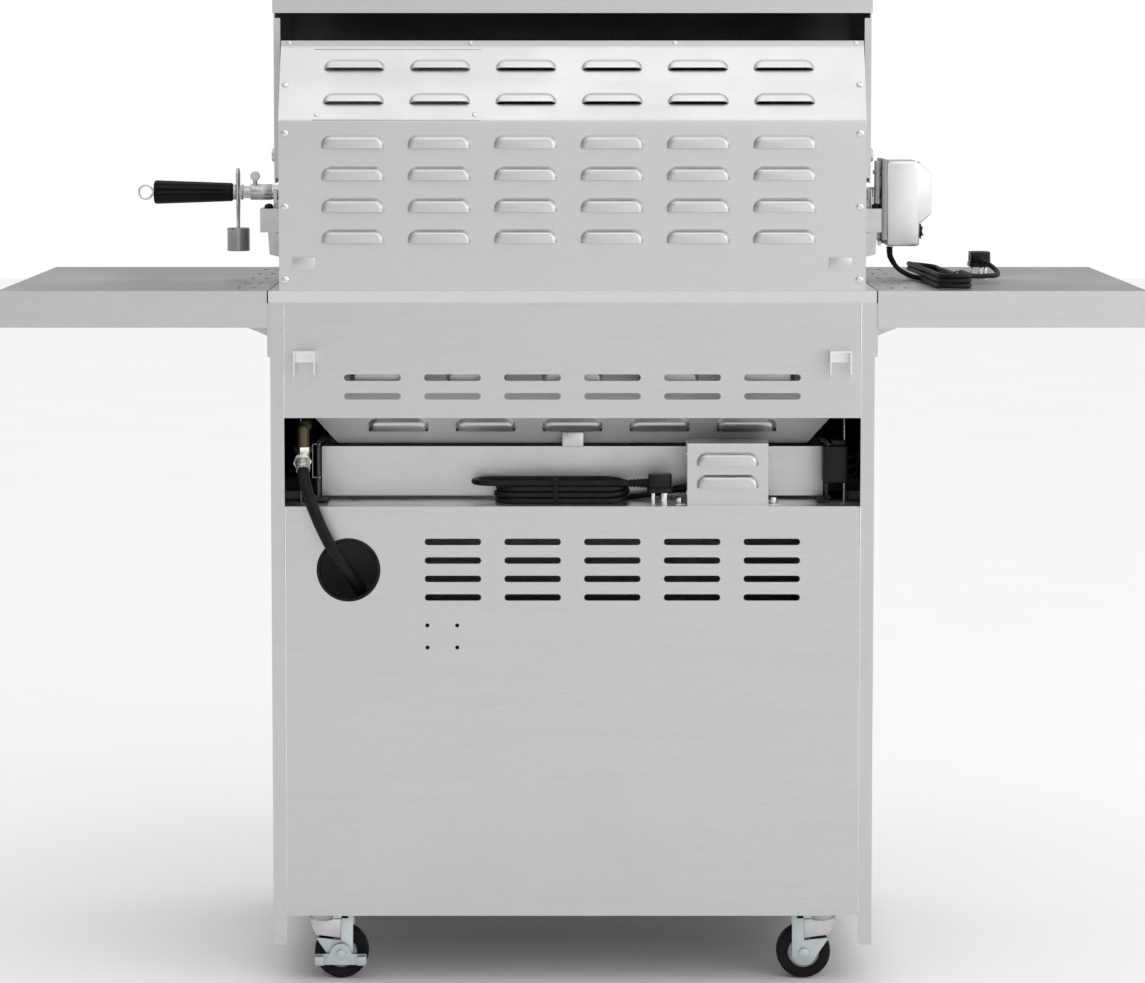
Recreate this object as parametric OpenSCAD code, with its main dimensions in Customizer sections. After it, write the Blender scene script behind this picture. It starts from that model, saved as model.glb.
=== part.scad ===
// Freestanding gas barbecue oven on a cart, with a hood, a rear burner and a motor-driven spit.
// +Z is up, the user stands at -Y and the origin is on the floor under the middle of the oven.

/* [Cart] */
// Width over the cart's side panels
cart_w = 707; // [700:1:709]
// Front-to-back length of the cart and of the side shelves
cart_d = 500; // [496:1:504]
// Thickness of the steel sheet
sheet = 1.2; // [1:0.1:1.5]
// Height of the worktop above the floor
top_z = 829.5; // [826:0.5:833]
// Height of the lower edge of the side panels
skirt_z = 54; // [50:1:60]
// Height of the cupboard floor
floor_z = 89; // [88:0.5:90]
// Lower edge of the opening in the back of the cart
window_z0 = 576; // [574:1:577]
// Upper edge of the opening in the back of the cart
window_z1 = 680.6; // [676:0.2:686]

/* [Side shelves] */
// Length of one side shelf
shelf_l = 315; // [280:1:330]
// Depth of the shelf's apron
apron_h = 43; // [36:1:50]

/* [Hood] */
// Height of the top of the closed lid
lid_top = 1171; // [1165:1:1180]
// Radius of the lid's front curve
lid_r = 230; // [220:1:240]
// Height of the lid's pivot above the floor
pivot_z = 985; // [980:1:990]
// Height of the bend in the hood's back panel
bend_z = 1027; // [1020:1:1034]

/* [Spit] */
// Height of the spit above the floor
spit_z = 936; // [934:0.5:938]
// Width across the flats of the spit rod
rod_w = 12; // [10:0.5:12.5]
// Diameter of the counterweight
weight_d = 27.6; // [24:0.2:30]

/* [Casters] */
// Diameter of the caster wheels
wheel_d = 65; // [62:0.5:65]
// Width of the caster wheels
wheel_w = 24; // [20:1:25]
// Distance from a caster's swivel axis to its wheel's axle
trail = 20; // [18:0.5:21]

/* [Hidden] */
$fn = 64;

steel = [0.79, 0.79, 0.78];
zinc = [0.60, 0.64, 0.65];
black = [0.09, 0.09, 0.09];
enamel = [0.16, 0.16, 0.17];
rubber = [0.06, 0.06, 0.06];

// The rear face stands where the deepest rear and front parts lie evenly about the origin.
rear_y = 272;
front_y = rear_y - cart_d;
half_w = cart_w / 2;
side_in = half_w - sheet;
// Flanges of the side panels
flange = 16;
panel_x = half_w - flange - 0.2;
ring_z = top_z - 13.5;
ring_x = half_w + 1.8;

// Firebox and its funnel
fire_x = 341.2;
fire_front = -216;
fire_rear = 245.2;
funnel_z = 720;
mouth_z = 642;
mouth_x = 280.6;
fire_y = (fire_front + fire_rear) / 2;
fire_half_y = (fire_rear - fire_front) / 2;
mouth_half_y = 165;
side_wall_top = 905;

// Hood and lid
hood_x = fire_x + sheet;
hood_y = rear_y;
slant_y = 222;
slant_z = bend_z + 88;
lid_x = 356.5;
lid_end_x = lid_x - sheet;
lid_rear = 172;
lid_front = -238;
lid_bottom = 848;
lip_h = 17;
pivot_y = 160;
pivot_r = 5;

// Spit and motor
spit_y = 22;
motor_x = -378;
cradle_x = 363;
weight_x = 412;

// Front of the cart
door_front = front_y - 20;
door_rear = front_y - 4;
door_z0 = 92;
door_z1 = 572;
hinge_x = 346;
hinge_y = front_y - 12;
panel_front = -259.2;
knob_z = 745;
knob_xs = [-255, -85, 0, 85, 255];

// Casters
wheel_r = wheel_d / 2;
swivel_x = 297;
swivel_ys = [207, -163];
axle_r = 4;

// Slots and louvers
slot_w = 66.3;
slot_h = 7.7;
slot_pitch = 93.6;
louver_w = 75;
louver_h = 15.7;
louver_pitch = 100.6;

// Routes of the free cords and of the gas hose
mains_d = 7;
motor_d = 6;
hose_d = 14;
mains_route = [
    [-135, 220, 592], [-125, 220, 591], [-114, 218, 589], [-102, 214, 586], [-90, 210, 583], [-78, 206, 581],
    [-67, 203, 580], [-56, 202, 580]
];
mains_tail = [[-66, 247, 601], [-60, 247, 601], [-53, 246, 601], [-46, 245, 601]];
motor_route = [
    [-390, 36, 869.5], [-390, 36, 864], [-391, 37, 857], [-395, 40, 849], [-401, 45, 842], [-409, 52, 837],
    [-417, 62, 834], [-424, 76, 833]
];
motor_tail = [
    [-464, 150, 845], [-467, 138, 843], [-475, 128, 840], [-488, 121, 838], [-502, 114, 838],
    [-513, 104, 838], [-517, 91, 840], [-514, 79, 845], [-506, 70, 851], [-501.5, 63, 853.8], [-501, 56.4, 854]
];
mains_hank_at = [12, 223];
motor_hank_at = [-445, 88];
plug_at = [-501, 31];
hose_route = [
    [317, 258, 628], [316, 268, 618], [313, 278, 604], [307, 285, 586], [299, 289, 566], [289, 290, 544],
    [278, 286, 523], [267, 276, 505], [257, 261, 488], [248, 243, 468], [240, 227, 442], [234, 216, 410],
    [230, 210, 370], [228, 208, 320], [227, 206, 265], [225, 201, 210], [220, 188, 160],
    [211, 163, 123], [200, 130, 103], [191, 100, 98], [184, 74, 98]
];

// Box between two opposite corners
module box(from, to) {
    translate(from) cube(to - from);
}

// Round bar along Y, from y0 to y1
module bar_y(x, z, y0, y1, r) {
    translate([x, y0, z]) rotate([-90, 0, 0]) cylinder(h = y1 - y0, r = r);
}

// Round bar along X, from x0 to x1
module bar_x(y, z, x0, x1, r) {
    translate([x0, y, z]) rotate([0, 90, 0]) cylinder(h = x1 - x0, r = r);
}

// Round bar along Z, from z0 to z1
module bar_z(x, y, z0, z1, r) {
    translate([x, y, z0]) cylinder(h = z1 - z0, r = r);
}

// Outline drawn in the Y-Z plane, pulled along X
module along_x(x0, x1) {
    translate([x0, 0, 0]) rotate([90, 0, 90]) linear_extrude(x1 - x0) children();
}

// Outline drawn in the X-Z plane, pulled along Y
module along_y(y0, y1) {
    translate([0, y1, 0]) rotate([90, 0, 0]) linear_extrude(y1 - y0) children();
}

// The same shape on both sides of the oven
module both_sides() {
    children();
    mirror([1, 0, 0]) children();
}

// The same shape on one side: 1 for right, -1 for left
module on_side(side) {
    if (side > 0) children();
    else mirror([1, 0, 0]) children();
}

// Plate with four rounded corners, lying flat
module rounded_plate(size, r, z0, z1) {
    translate([0, 0, z0]) linear_extrude(z1 - z0) rounded_outline(size, r);
}

module rounded_outline(size, r) {
    square([size.x - 2 * r, size.y], center = true);
    square([size.x, size.y - 2 * r], center = true);
    for (sx = [-1, 1], sy = [-1, 1])
        translate([sx * (size.x / 2 - r), sy * (size.y / 2 - r)]) circle(r);
}

// Long outline with round ends, from end to end along X
module stadium(length, width) {
    square([length - width, width], center = true);
    for (side = [-1, 1]) translate([side * (length - width) / 2, 0]) circle(d = width);
}

// Row of round-ended slots, cut through a panel that faces the rear
module slot_row(xs, z) {
    for (x = xs)
        translate([x, 0, z]) along_y(rear_y - 10, rear_y + 10) stadium(slot_w, slot_h);
}

// Pressed louver that opens downwards; its base lies on the plane y = 0 at z = 0
module louver(width, height, depth) {
    roof = [
        [0, height], [depth * 0.7, height * 0.75], [depth, 0], [depth - sheet, 0],
        [depth * 0.7 - sheet, height * 0.75 - sheet], [0, height - 2 * sheet]
    ];
    cheek = [[0, height], [depth * 0.7, height * 0.75], [depth, 0], [0, 0]];
    along_x(-width / 2, width / 2) polygon(roof);
    for (x = [-width / 2, width / 2 - sheet]) along_x(x, x + sheet) polygon(cheek);
}

// Tube swept along a list of points, with one ring of corners at each point
function unit(v) = v / norm(v);
function tangent(route, i) =
    unit(route[min(i + 1, len(route) - 1)] - route[max(i - 1, 0)]);
function ring_side(t) = unit(cross(t, abs(t.z) > 0.9 ? [0, 1, 0] : [0, 0, 1]));
function tube_ring(route, i, r, sides) =
    let (t = tangent(route, i), u = ring_side(t), v = cross(t, u))
    [for (k = [0 : sides - 1]) route[i] + r * (cos(360 * k / sides) * u + sin(360 * k / sides) * v)];

module tube(route, r, sides) {
    last = len(route) - 1;
    points = [for (i = [0 : last]) each tube_ring(route, i, r, sides)];
    walls = [
        for (i = [0 : last - 1], k = [0 : sides - 1])
            let (a = i * sides + k, b = i * sides + (k + 1) % sides)
            [a, b, b + sides, a + sides]
    ];
    start = [for (k = [sides - 1 : -1 : 0]) k];
    end = [for (k = [0 : sides - 1]) last * sides + k];
    polyhedron(points, concat([start], walls, [end]), convexity = 6);
}

// ---- Cart ----

module cart_side(side) {
    foot_r = 5;
    color(steel) on_side(side) {
        box([side_in, front_y, skirt_z], [half_w, rear_y, ring_z]);
        for (y = [front_y, rear_y - sheet]) along_y(y, y + sheet) {
            translate([half_w - flange, skirt_z + foot_r]) square([flange - sheet, ring_z - skirt_z - foot_r]);
            translate([half_w - flange + foot_r, skirt_z]) square([flange - sheet - foot_r, foot_r]);
            translate([half_w - flange + foot_r, skirt_z + foot_r]) circle(foot_r);
        }
    }
}

module cart_side_left() {
    cart_side(-1);
}

module cart_side_right() {
    cart_side(1);
}

// Cupboard floor with the mounting plate and kingpin of each caster under it
module cart_floor() {
    rim_h = 12;
    color(steel) {
        box([-side_in, front_y + 22, floor_z], [side_in, rear_y - sheet, floor_z + sheet]);
        box([-panel_x, front_y + 1.5, floor_z], [panel_x, front_y + 22, floor_z + sheet]);
        box([-panel_x, rear_y - 2 * sheet, floor_z], [panel_x, rear_y - sheet, floor_z + rim_h]);
    }
    color(zinc)
        for (x = [-swivel_x, swivel_x], y = swivel_ys) {
            box([x - 30, y - 32, floor_z - 2.5], [x + 30, y + 32, floor_z]);
            bar_z(x, y, floor_z - 11.2, floor_z - 2.5, 5);
            bar_z(x, y, floor_z - 15, floor_z - 11.2, 8);
        }
}

// Posts behind the door opening, the rails above and below it and the two tray channels
module inner_frame() {
    post_y = front_y + sheet;
    post_d = 20;
    color(steel) difference() {
        union() {
            both_sides() {
                box([half_w - flange, post_y, floor_z + sheet], [side_in, post_y + post_d, 710]);
                box([300.5, post_y + post_d, 578.5], [300.5 + sheet, 240, 650]);
                box([293, post_y + post_d, 648.8], [300.5, 240, 650]);
                box([290, post_y + post_d, 578.5], [300.5, 240, 578.5 + sheet]);
                box([300.5, post_y + post_d, 584], [side_in, post_y + post_d + sheet, 600]);
                box([300.5, 180, 584], [side_in, 180 + sheet, 600]);
                bar_z(hinge_x, hinge_y, door_z1 - 10, 574, 3);
                bar_z(hinge_x, hinge_y, floor_z - 0.5, door_z0 + 10, 3);
            }
            for (z = [[84, 89], [574, 578]]) {
                box([-half_w, door_front + 2, z[0]], [half_w, front_y, z[1]]);
                box([-half_w + flange, front_y, z[0]], [half_w - flange, front_y + 1.4, z[1]]);
            }
            box([-half_w + flange, front_y, 574], [half_w - flange, post_y + post_d, 578]);
        }
    }
}

module rear_panel() {
    ledge_y = 195;
    upper_rows = [534.5, 512.5, 490.8, 468.8];
    color(steel) difference() {
        union() {
            box([-panel_x, rear_y - sheet, floor_z], [panel_x, rear_y, window_z0]);
            box([-panel_x, ledge_y, window_z0 - sheet], [panel_x, rear_y - sheet, window_z0]);
            box([-panel_x, ledge_y, window_z0 - 12], [panel_x, ledge_y + sheet, window_z0 - sheet]);
        }
        for (z = upper_rows) slot_row([for (i = [-2 : 2]) i * slot_pitch - slot_pitch / 2], z);
        bar_y(263, 501.4, rear_y - 10, rear_y + 10, 35);
        for (x = [135.6, 170.6], z = [409.4, 435.6]) bar_y(x, z, rear_y - 10, rear_y + 10, 2.4);
    }
}

module upper_rear_panel() {
    color(steel) difference() {
        union() {
            box([-panel_x, rear_y - sheet, window_z1], [panel_x, rear_y, ring_z]);
            box([-panel_x, rear_y - 12, window_z1], [panel_x, rear_y - sheet, window_z1 + sheet]);
        }
        for (z = [728, 706]) slot_row([for (i = [-3 : 2]) (i + 0.5) * slot_pitch], z);
    }
}

// Two hooks for utensils, each a folded saddle with two side ears that point down
module tool_hooks() {
    hook_w = 25;
    z0 = 726;
    ear = [[0, 761 - z0], [28, 761 - z0], [28, 8], [21, 0], [14, 8], [14, 20], [0, 20]];
    color(steel) both_sides() {
        box([312 - hook_w / 2, rear_y, z0 + 20], [312 + hook_w / 2, rear_y + 1.5, 761]);
        box([312 - hook_w / 2, rear_y + 1.5, 759.5], [312 + hook_w / 2, rear_y + 28, 761]);
        for (x = [312 - hook_w / 2, 312 + hook_w / 2 - 1.5])
            translate([0, rear_y, z0]) along_x(x, x + 1.5) polygon(ear);
    }
}

// Bush that keeps the gas hose off the edge of its hole
module hose_grommet() {
    color(rubber) translate([263, rear_y, 501.4]) rotate([-90, 0, 0]) rotate_extrude()
        polygon([[33.3, -6], [38, -6], [38, -1.3], [34.9, -1.3], [34.9, 0.1], [36.8, 0.1], [36.8, 2.5], [33.3, 2.5]]);
}

// ---- Side shelves ----

module side_shelf(side) {
    x0 = half_w + 3.5;
    x1 = x0 + shelf_l;
    hole_pitch = 96;
    color(steel) on_side(side) difference() {
        union() {
            box([x0, front_y, top_z - sheet], [x1, rear_y, top_z]);
            box([x0, front_y, top_z - apron_h], [x0 + sheet, rear_y, top_z - sheet]);
            box([x1 - sheet, front_y, top_z - apron_h], [x1, rear_y, top_z - sheet]);
            for (y = [front_y, rear_y - sheet])
                box([x0, y, top_z - apron_h], [x1, y + sheet, top_z - sheet]);
        }
        for (x = [x0 + 20, x0 + 36.5], i = [-2 : 2])
            translate([x, rear_y - cart_d / 2 + i * hole_pitch, 0])
                linear_extrude(top_z + 5) rotate(90) stadium(30, 5);
    }
}

module shelf_left() {
    side_shelf(-1);
}

module shelf_right() {
    side_shelf(1);
}

// Mounting strip and two triangular gussets under each shelf
module shelf_brackets() {
    gusset = [[0, 0], [0, -12], [3, -12], [25, -3], [25, 0]];
    color(steel) both_sides() {
        box([half_w, front_y + 20, 752], [half_w + 3.5, rear_y - 2, ring_z - 0.5]);
        for (y = [front_y + 40, rear_y - 40])
            translate([half_w + 3.5, 0, top_z - apron_h]) along_y(y, y + 3) polygon(gusset);
    }
}

// ---- Doors ----

// Hollow door with a bar handle; its hinge pins stand outside the frame's rails
module cart_door(side) {
    x0 = 1;
    x1 = 352;
    color(steel) on_side(side) difference() {
        union() {
            difference() {
                box([x0, door_front, door_z0], [x1, door_rear, door_z1]);
                box([x0 + 12, door_front + sheet, door_z0 + 12], [x1 - 14, door_rear + 1, door_z1 - 12]);
            }
            bar_z(34, door_front - 31, 330, 530, 7);
            for (z = [350, 510]) bar_y(34, z, door_front - 31, door_front, 5);
        }
        bar_z(hinge_x, hinge_y, door_z0 - 1, door_z0 + 11, 3.05);
        bar_z(hinge_x, hinge_y, door_z1 - 11, door_z1 + 1, 3.05);
    }
}

module door_left() {
    cart_door(-1);
}

module door_right() {
    cart_door(1);
}

// ---- Firebox and gas parts ----

// Funnel under the firebox, shrunk by gap all round and longer by over at both ends
module funnel(gap, over) {
    slope_x = (fire_x - mouth_x) / (funnel_z - mouth_z);
    slope_y = (fire_half_y - mouth_half_y) / (funnel_z - mouth_z);
    low = [mouth_x - gap - over * slope_x, mouth_half_y - gap - over * slope_y, mouth_z - over];
    top = [fire_x - gap + over * slope_x, fire_half_y - gap + over * slope_y, funnel_z + over];
    corners = [
        for (size = [low, top], sign = [[-1, -1], [1, -1], [1, 1], [-1, 1]])
            [sign.x * size.x, fire_y + sign.y * size.y, size.z]
    ];
    walls = [for (k = [0 : 3]) [k, k + 4, (k + 1) % 4 + 4, (k + 1) % 4]];
    polyhedron(corners, concat([[0, 1, 2, 3]], walls, [[7, 6, 5, 4]]));
}

module firebox() {
    color(steel) {
        difference() {
            funnel(0, 0);
            funnel(sheet, 1);
            for (i = [-2 : 2]) box([i * 103.6 - 35.5, 150, 660], [i * 103.6 + 35.5, 240, 668]);
        }
        difference() {
            union() {
                both_sides() box([fire_x - sheet, fire_front, funnel_z], [fire_x, fire_rear, side_wall_top]);
                box([-fire_x, fire_rear - sheet, funnel_z], [fire_x, fire_rear, top_z]);
                box([-fire_x, fire_front, funnel_z], [fire_x, fire_front + sheet, 842]);
            }
            for (i = [-2 : 2]) box([i * 113 - 34, 230, 723], [i * 113 + 34, 260, 731]);
        }
        both_sides() {
            box([fire_x, front_y, top_z - sheet], [ring_x, rear_y + sheet, top_z]);
            box([ring_x - sheet, front_y, ring_z], [ring_x, rear_y + sheet, top_z - sheet]);
            box([346, front_y + 24, ring_z], [ring_x - sheet, rear_y - 2, ring_z + sheet]);
        }
        box([-fire_x, fire_rear, top_z - sheet], [fire_x, rear_y + sheet, top_z]);
        box([-ring_x, rear_y, ring_z], [ring_x, rear_y + sheet, top_z - sheet]);
        box([-fire_x, front_y, top_z - sheet], [fire_x, fire_front, top_z]);
    }
}

// Back of the hood: upright panel, slanted panel, top lip, the two wings and the lid's pivot studs
module hood_back() {
    lip_z = slant_z + 6;
    skin = [
        [hood_y - sheet, top_z], [hood_y, top_z], [hood_y, bend_z], [slant_y, slant_z], [slant_y, lip_z],
        [slant_y - sheet, lip_z], [slant_y - sheet, slant_z - 1], [hood_y - sheet, bend_z - 0.7]
    ];
    wing = [
        [60, top_z], [hood_y - sheet, top_z], [hood_y - sheet, bend_z - 0.7], [slant_y - sheet, slant_z - 1],
        [175, 1060], [130, 1010], [60, 960]
    ];
    slant_a = atan2(slant_y - hood_y, slant_z - bend_z);
    columns = [for (i = [-3 : 2]) (i + 0.5) * louver_pitch + 4];
    vertical_rows = [885.7, 922, 959, 996];
    slant_rows = [24, 69];
    sink = 0.3;
    color(steel) {
        difference() {
            along_x(-hood_x, hood_x) polygon(skin);
            for (x = columns, z = vertical_rows)
                box([x - 34, hood_y - 6, z + 1], [x + 34, hood_y + 6, z + 9]);
            for (x = columns, u = slant_rows)
                translate([x, hood_y, bend_z]) rotate([-slant_a, 0, 0]) box([-33, -6, u + 1], [33, 6, u + 8]);
        }
        for (x = columns, z = vertical_rows) translate([x, hood_y - sink, z]) louver(louver_w, louver_h, 7);
        for (x = columns, u = slant_rows)
            translate([x, hood_y, bend_z]) rotate([-slant_a, 0, 0])
                translate([0, -sink, u]) louver(louver_w - 3, louver_h - 2, 6);
        both_sides() {
            along_x(fire_x, hood_x) polygon(wing);
            bar_x(pivot_y, pivot_z, hood_x, lid_end_x + 0.3, pivot_r);
            bar_x(pivot_y, pivot_z, lid_end_x + 0.3, lid_x + 2.5, pivot_r + 3);
        }
    }
}

// Cover plate behind the rear burner's gas joint, on the inner face of the slanted panel
module access_cover() {
    slant_a = atan2(slant_y - hood_y, slant_z - bend_z);
    color(steel) translate([0, hood_y, bend_z]) rotate([-slant_a, 0, 0])
        difference() {
            box([107, -3.2, 4], [303, -2, 90]);
            for (x = [114, 298]) bar_y(x, 10, -4, 0, 2);
        }
}

// Ceramic burner for the spit, held behind it in a steel tray
module rear_burner() {
    color(steel) difference() {
        box([-290, 205, 905], [290, 244, 1005]);
        box([-282, 200, 913], [282, 241, 997]);
    }
    color([0.93, 0.90, 0.84]) box([-282, 222, 913], [282, 236, 997]);
    color(steel) both_sides() box([290, 225, 940], [fire_x, 228, 970]);
}

module burners() {
    color(steel) for (x = [-255, -85, 85, 255]) {
        bar_y(x, 752, fire_front + sheet, 225, 19);
        box([x - 15, 225, 744], [x + 15, fire_rear - sheet, 760]);
    }
}

// Roof-shaped covers over the burners, resting on the firebox's front and rear ledges
module flame_tamers() {
    roof = [[-62, 0], [0, 34], [62, 0], [62, 1.5], [0, 35.5], [-62, 1.5]];
    color(steel) for (x = [-255, -85, 85, 255])
        translate([x, 0, 776]) along_y(fire_front + sheet, fire_rear - sheet) polygon(roof);
}

module cooking_grates() {
    rod_r = 4;
    grate_w = 225;
    y0 = fire_front + sheet;
    y1 = fire_rear - sheet;
    color(enamel) for (c = [-1 : 1]) translate([c * 227, 0, 0]) {
        for (y = [y0, y1 - 12, (y0 + y1 - 12) / 2])
            box([-grate_w / 2, y, 826], [grate_w / 2, y + 12, 834]);
        for (i = [-7 : 7]) box([i * 15.4 - rod_r, y0 + 12, 826], [i * 15.4 + rod_r, y1 - 12, 838]);
    }
}

// Gas rail with a valve and stem for each knob, and the feed pipe to the rear elbow
module gas_manifold() {
    rail_y = -240;
    drop_x = 318;
    color([0.75, 0.68, 0.45]) {
        bar_x(rail_y, knob_z, -285, drop_x, 8);
        for (x = knob_xs) {
            box([x - 11, -252, knob_z - 13], [x + 11, -230, knob_z + 13]);
            bar_y(x, knob_z, -285, -252, 4);
        }
    }
    color(steel) {
        bar_z(drop_x, rail_y, 665, knob_z, 8);
        bar_y(drop_x, 665, rail_y, 244, 8);
        bar_z(drop_x, 244, 637, 665, 8);
        for (z = [665, knob_z]) translate([drop_x, rail_y, z]) sphere(8);
        translate([drop_x, 244, 665]) sphere(8);
    }
}

module control_panel() {
    low = 648;
    high = 844;
    color(steel) difference() {
        union() {
            box([-half_w, panel_front, low], [half_w, panel_front + sheet, high]);
            box([-half_w, panel_front + sheet, high - sheet], [half_w, fire_front, high]);
            both_sides() {
                box([side_in, panel_front + sheet, low], [half_w, front_y, high - sheet]);
                box([half_w - flange, front_y - sheet, low], [side_in, front_y, 780]);
            }
            box([-half_w, panel_front + sheet, low], [half_w, -248, low + sheet]);
            for (x = knob_xs) bar_y(x, knob_z, panel_front - 3, panel_front, 29);
        }
        for (x = knob_xs) bar_y(x, knob_z, panel_front - 10, panel_front + 10, 6);
    }
}

module knob(i) {
    x = knob_xs[i];
    face = panel_front - 3.3;
    color(steel) difference() {
        union() {
            bar_y(x, knob_z, face - 2, face, 26);
            bar_y(x, knob_z, face - 26, face - 2, 21);
            box([x - 4, face - 32, knob_z - 20], [x + 4, face - 25, knob_z + 20]);
        }
        bar_y(x, knob_z, face - 23, face + 1, 4.06);
    }
}

module knob_1() {
    knob(0);
}

module knob_2() {
    knob(1);
}

module knob_rear() {
    knob(2);
}

module knob_3() {
    knob(3);
}

module knob_4() {
    knob(4);
}

// Tray that catches the fat, with its own front plate and finger pull
module grease_tray() {
    tray_x = 299;
    z0 = 580;
    z1 = 639;
    color(steel) {
        difference() {
            box([-tray_x, front_y + 2, z0], [tray_x, 192, z1]);
            box([-tray_x + sheet, front_y + 2 + sheet, z0 + sheet], [tray_x - sheet, 192 - sheet, z1 + 1]);
        }
        box([-half_w + 2, front_y - 18, z0 + 1], [half_w - 2, front_y - 2, z1 + 4]);
        box([-200, front_y - 2, z0 + 10], [200, front_y + 2, z1 - 10]);
        box([-70, front_y - 40, z1 - 6], [70, front_y - 18, z1 - 4]);
    }
}

// ---- Lid ----

// Side view of the lid, inset by gap from its outer face
module lid_outline(gap) {
    r = lid_r - gap;
    cy = lid_front + lid_r;
    cz = lid_top - lid_r;
    intersection() {
        translate([cy, cz]) circle(r, $fn = 128);
        translate([lid_front, cz]) square([lid_r, lid_r + 1]);
    }
    translate([cy, cz]) square([lid_rear - gap - cy, r]);
    translate([lid_front + gap, lid_bottom]) square([lid_rear - lid_front - 2 * gap, cz - lid_bottom]);
}

module lid_shell() {
    color(steel) difference() {
        along_x(-lid_x, lid_x) lid_outline(0);
        along_x(-lid_x - 1, lid_x + 1) {
            lid_outline(sheet);
            translate([lid_front + sheet, lid_bottom - 1]) square([lid_rear - lid_front - 2 * sheet, 5]);
            translate([lid_rear - 10, lid_bottom - 1]) square([20, lid_top - lid_bottom - lip_h + 1]);
        }
        bar_y(0, 975, lid_front - 1, lid_front + 10, 4);
    }
}

// Two flat end caps; each has a cut-out below and behind the spit and a flange along its rear edge
module lid_ends() {
    flange_w = 8;
    flange_y = lid_rear - 2 * sheet;
    color(steel) both_sides() difference() {
        union() {
            along_x(lid_end_x - 1.5, lid_end_x) difference() {
                lid_outline(sheet);
                translate([10, lid_bottom - 1]) square([200, 952 - lid_bottom + 1]);
            }
            box([lid_end_x - flange_w, flange_y, 958], [lid_end_x, flange_y + sheet, lid_top - lip_h - 6]);
        }
        bar_x(pivot_y, pivot_z, lid_end_x - flange_w - 1, lid_end_x + 1, pivot_r + 0.06);
    }
}

module lid_handle() {
    bar_out = -289;
    z = 900;
    color(steel) {
        bar_x(bar_out, z, -300, 300, 11);
        for (x = [-270, 270]) bar_y(x, z, bar_out, lid_front, 8);
    }
}

module thermometer() {
    color(steel) difference() {
        bar_y(0, 975, lid_front - 10, lid_front + 25, 29);
        bar_y(0, 975, lid_front - 11, lid_front - 8, 25);
        difference() {
            bar_y(0, 975, lid_front - 0.5, lid_front + 26, 30);
            bar_y(0, 975, lid_front - 0.5, lid_front + 26, 4);
        }
    }
}

// ---- Spit and its drive ----

// Brackets on both sides of the firebox that carry the spit
module spit_brackets() {
    gusset = [[fire_x, 853], [371, 861], [373, 888], [366, 888], [fire_x, 885]];
    cradle = [
        [spit_y - 17, 917], [spit_y + 17, 917], [spit_y + 17, 940], [spit_y + 9.5, 940],
        [spit_y + 9.5, 926.6], [spit_y - 9.5, 926.6], [spit_y - 9.5, 940], [spit_y - 17, 940]
    ];
    color(steel) {
        both_sides() {
            box([fire_x, 14, 888], [-motor_x, 60, 917]);
            along_y(18, 56) polygon(gusset);
            box([370, 10, 917], [376, 20, 920]);
            along_x(cradle_x, cradle_x + 4) polygon(cradle);
        }
        box([-motor_x, 14, 888], [382, 60, 917]);
    }
}

// Square rod with its round bearing collar
module spit_rod() {
    color(steel) difference() {
        union() {
            box([motor_x - 6, spit_y - rod_w / 2, spit_z - rod_w / 2], [418, spit_y + rod_w / 2, spit_z + rod_w / 2]);
            bar_x(spit_y, spit_z, 358, 396, 9);
            bar_x(spit_y, spit_z, 396, 404, 7.5);
            bar_z(391, spit_y, spit_z + 8, spit_z + 15, 2.5);
            translate([391, spit_y - 2, spit_z + 19.7]) rotate([-90, 0, 0]) cylinder(h = 4, r = 5.5);
        }
    }
}

// Turned handle with flutes and a hanging ring at its end
module spit_handle() {
    color(black) difference() {
        translate([418, spit_y, spit_z]) rotate([0, 90, 0]) rotate_extrude()
            polygon([[0, 0], [11.2, 0], [14.5, 94], [13, 97], [0, 97]]);
        for (a = [0 : 30 : 330])
            translate([0, spit_y, spit_z]) rotate([a, 0, 0]) box([424, -1, 12.6], [518, 1, 20]);
    }
    color(steel) {
        bar_x(spit_y, spit_z, 515, 519, 3);
        translate([526, spit_y, spit_z]) rotate([90, 0, 0]) rotate_extrude() translate([8.4, 0]) circle(1.25, $fn = 24);
    }
}

// Weight on a looped arm, clamped to the rod next to the handle
module counterweight() {
    loop_w = 4.7;
    color(zinc) {
        difference() {
            union() {
                bar_x(spit_y, spit_z, weight_x - loop_w / 2, weight_x + loop_w / 2, 15);
                box([weight_x - loop_w / 2, spit_y - 5, 890], [weight_x + loop_w / 2, spit_y + 5, 966]);
            }
            box([weight_x - 5, spit_y - rod_w / 2, spit_z - rod_w / 2], [weight_x + 5, spit_y + rod_w / 2, spit_z + rod_w / 2]);
            box([weight_x - 5, spit_y - 2, spit_z], [weight_x + 5, spit_y + 2, 962]);
        }
        bar_z(weight_x, spit_y, 864, 892, weight_d / 2);
    }
}

// Two forks that slide on the rod, each with four tines and a clamp screw
module meat_forks() {
    color(steel) for (side = [-1, 1]) {
        x0 = side * 170;
        difference() {
            union() {
                bar_x(spit_y, spit_z, min(x0, x0 + side * 24), max(x0, x0 + side * 24), 11);
                box([x0 - 2, spit_y - 45, spit_z - 4], [x0 + 2, spit_y + 45, spit_z + 4]);
                box([x0 - 2, spit_y - 4, spit_z - 45], [x0 + 2, spit_y + 4, spit_z + 45]);
                for (p = [[45, 0], [-45, 0], [0, 45], [0, -45]])
                    bar_x(spit_y + p[0], spit_z + p[1], min(x0, x0 - side * 85), max(x0, x0 - side * 85), 3);
            }
            box([x0 - 30, spit_y - rod_w / 2, spit_z - rod_w / 2], [x0 + 30, spit_y + rod_w / 2, spit_z + rod_w / 2]);
        }
    }
}

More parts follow.
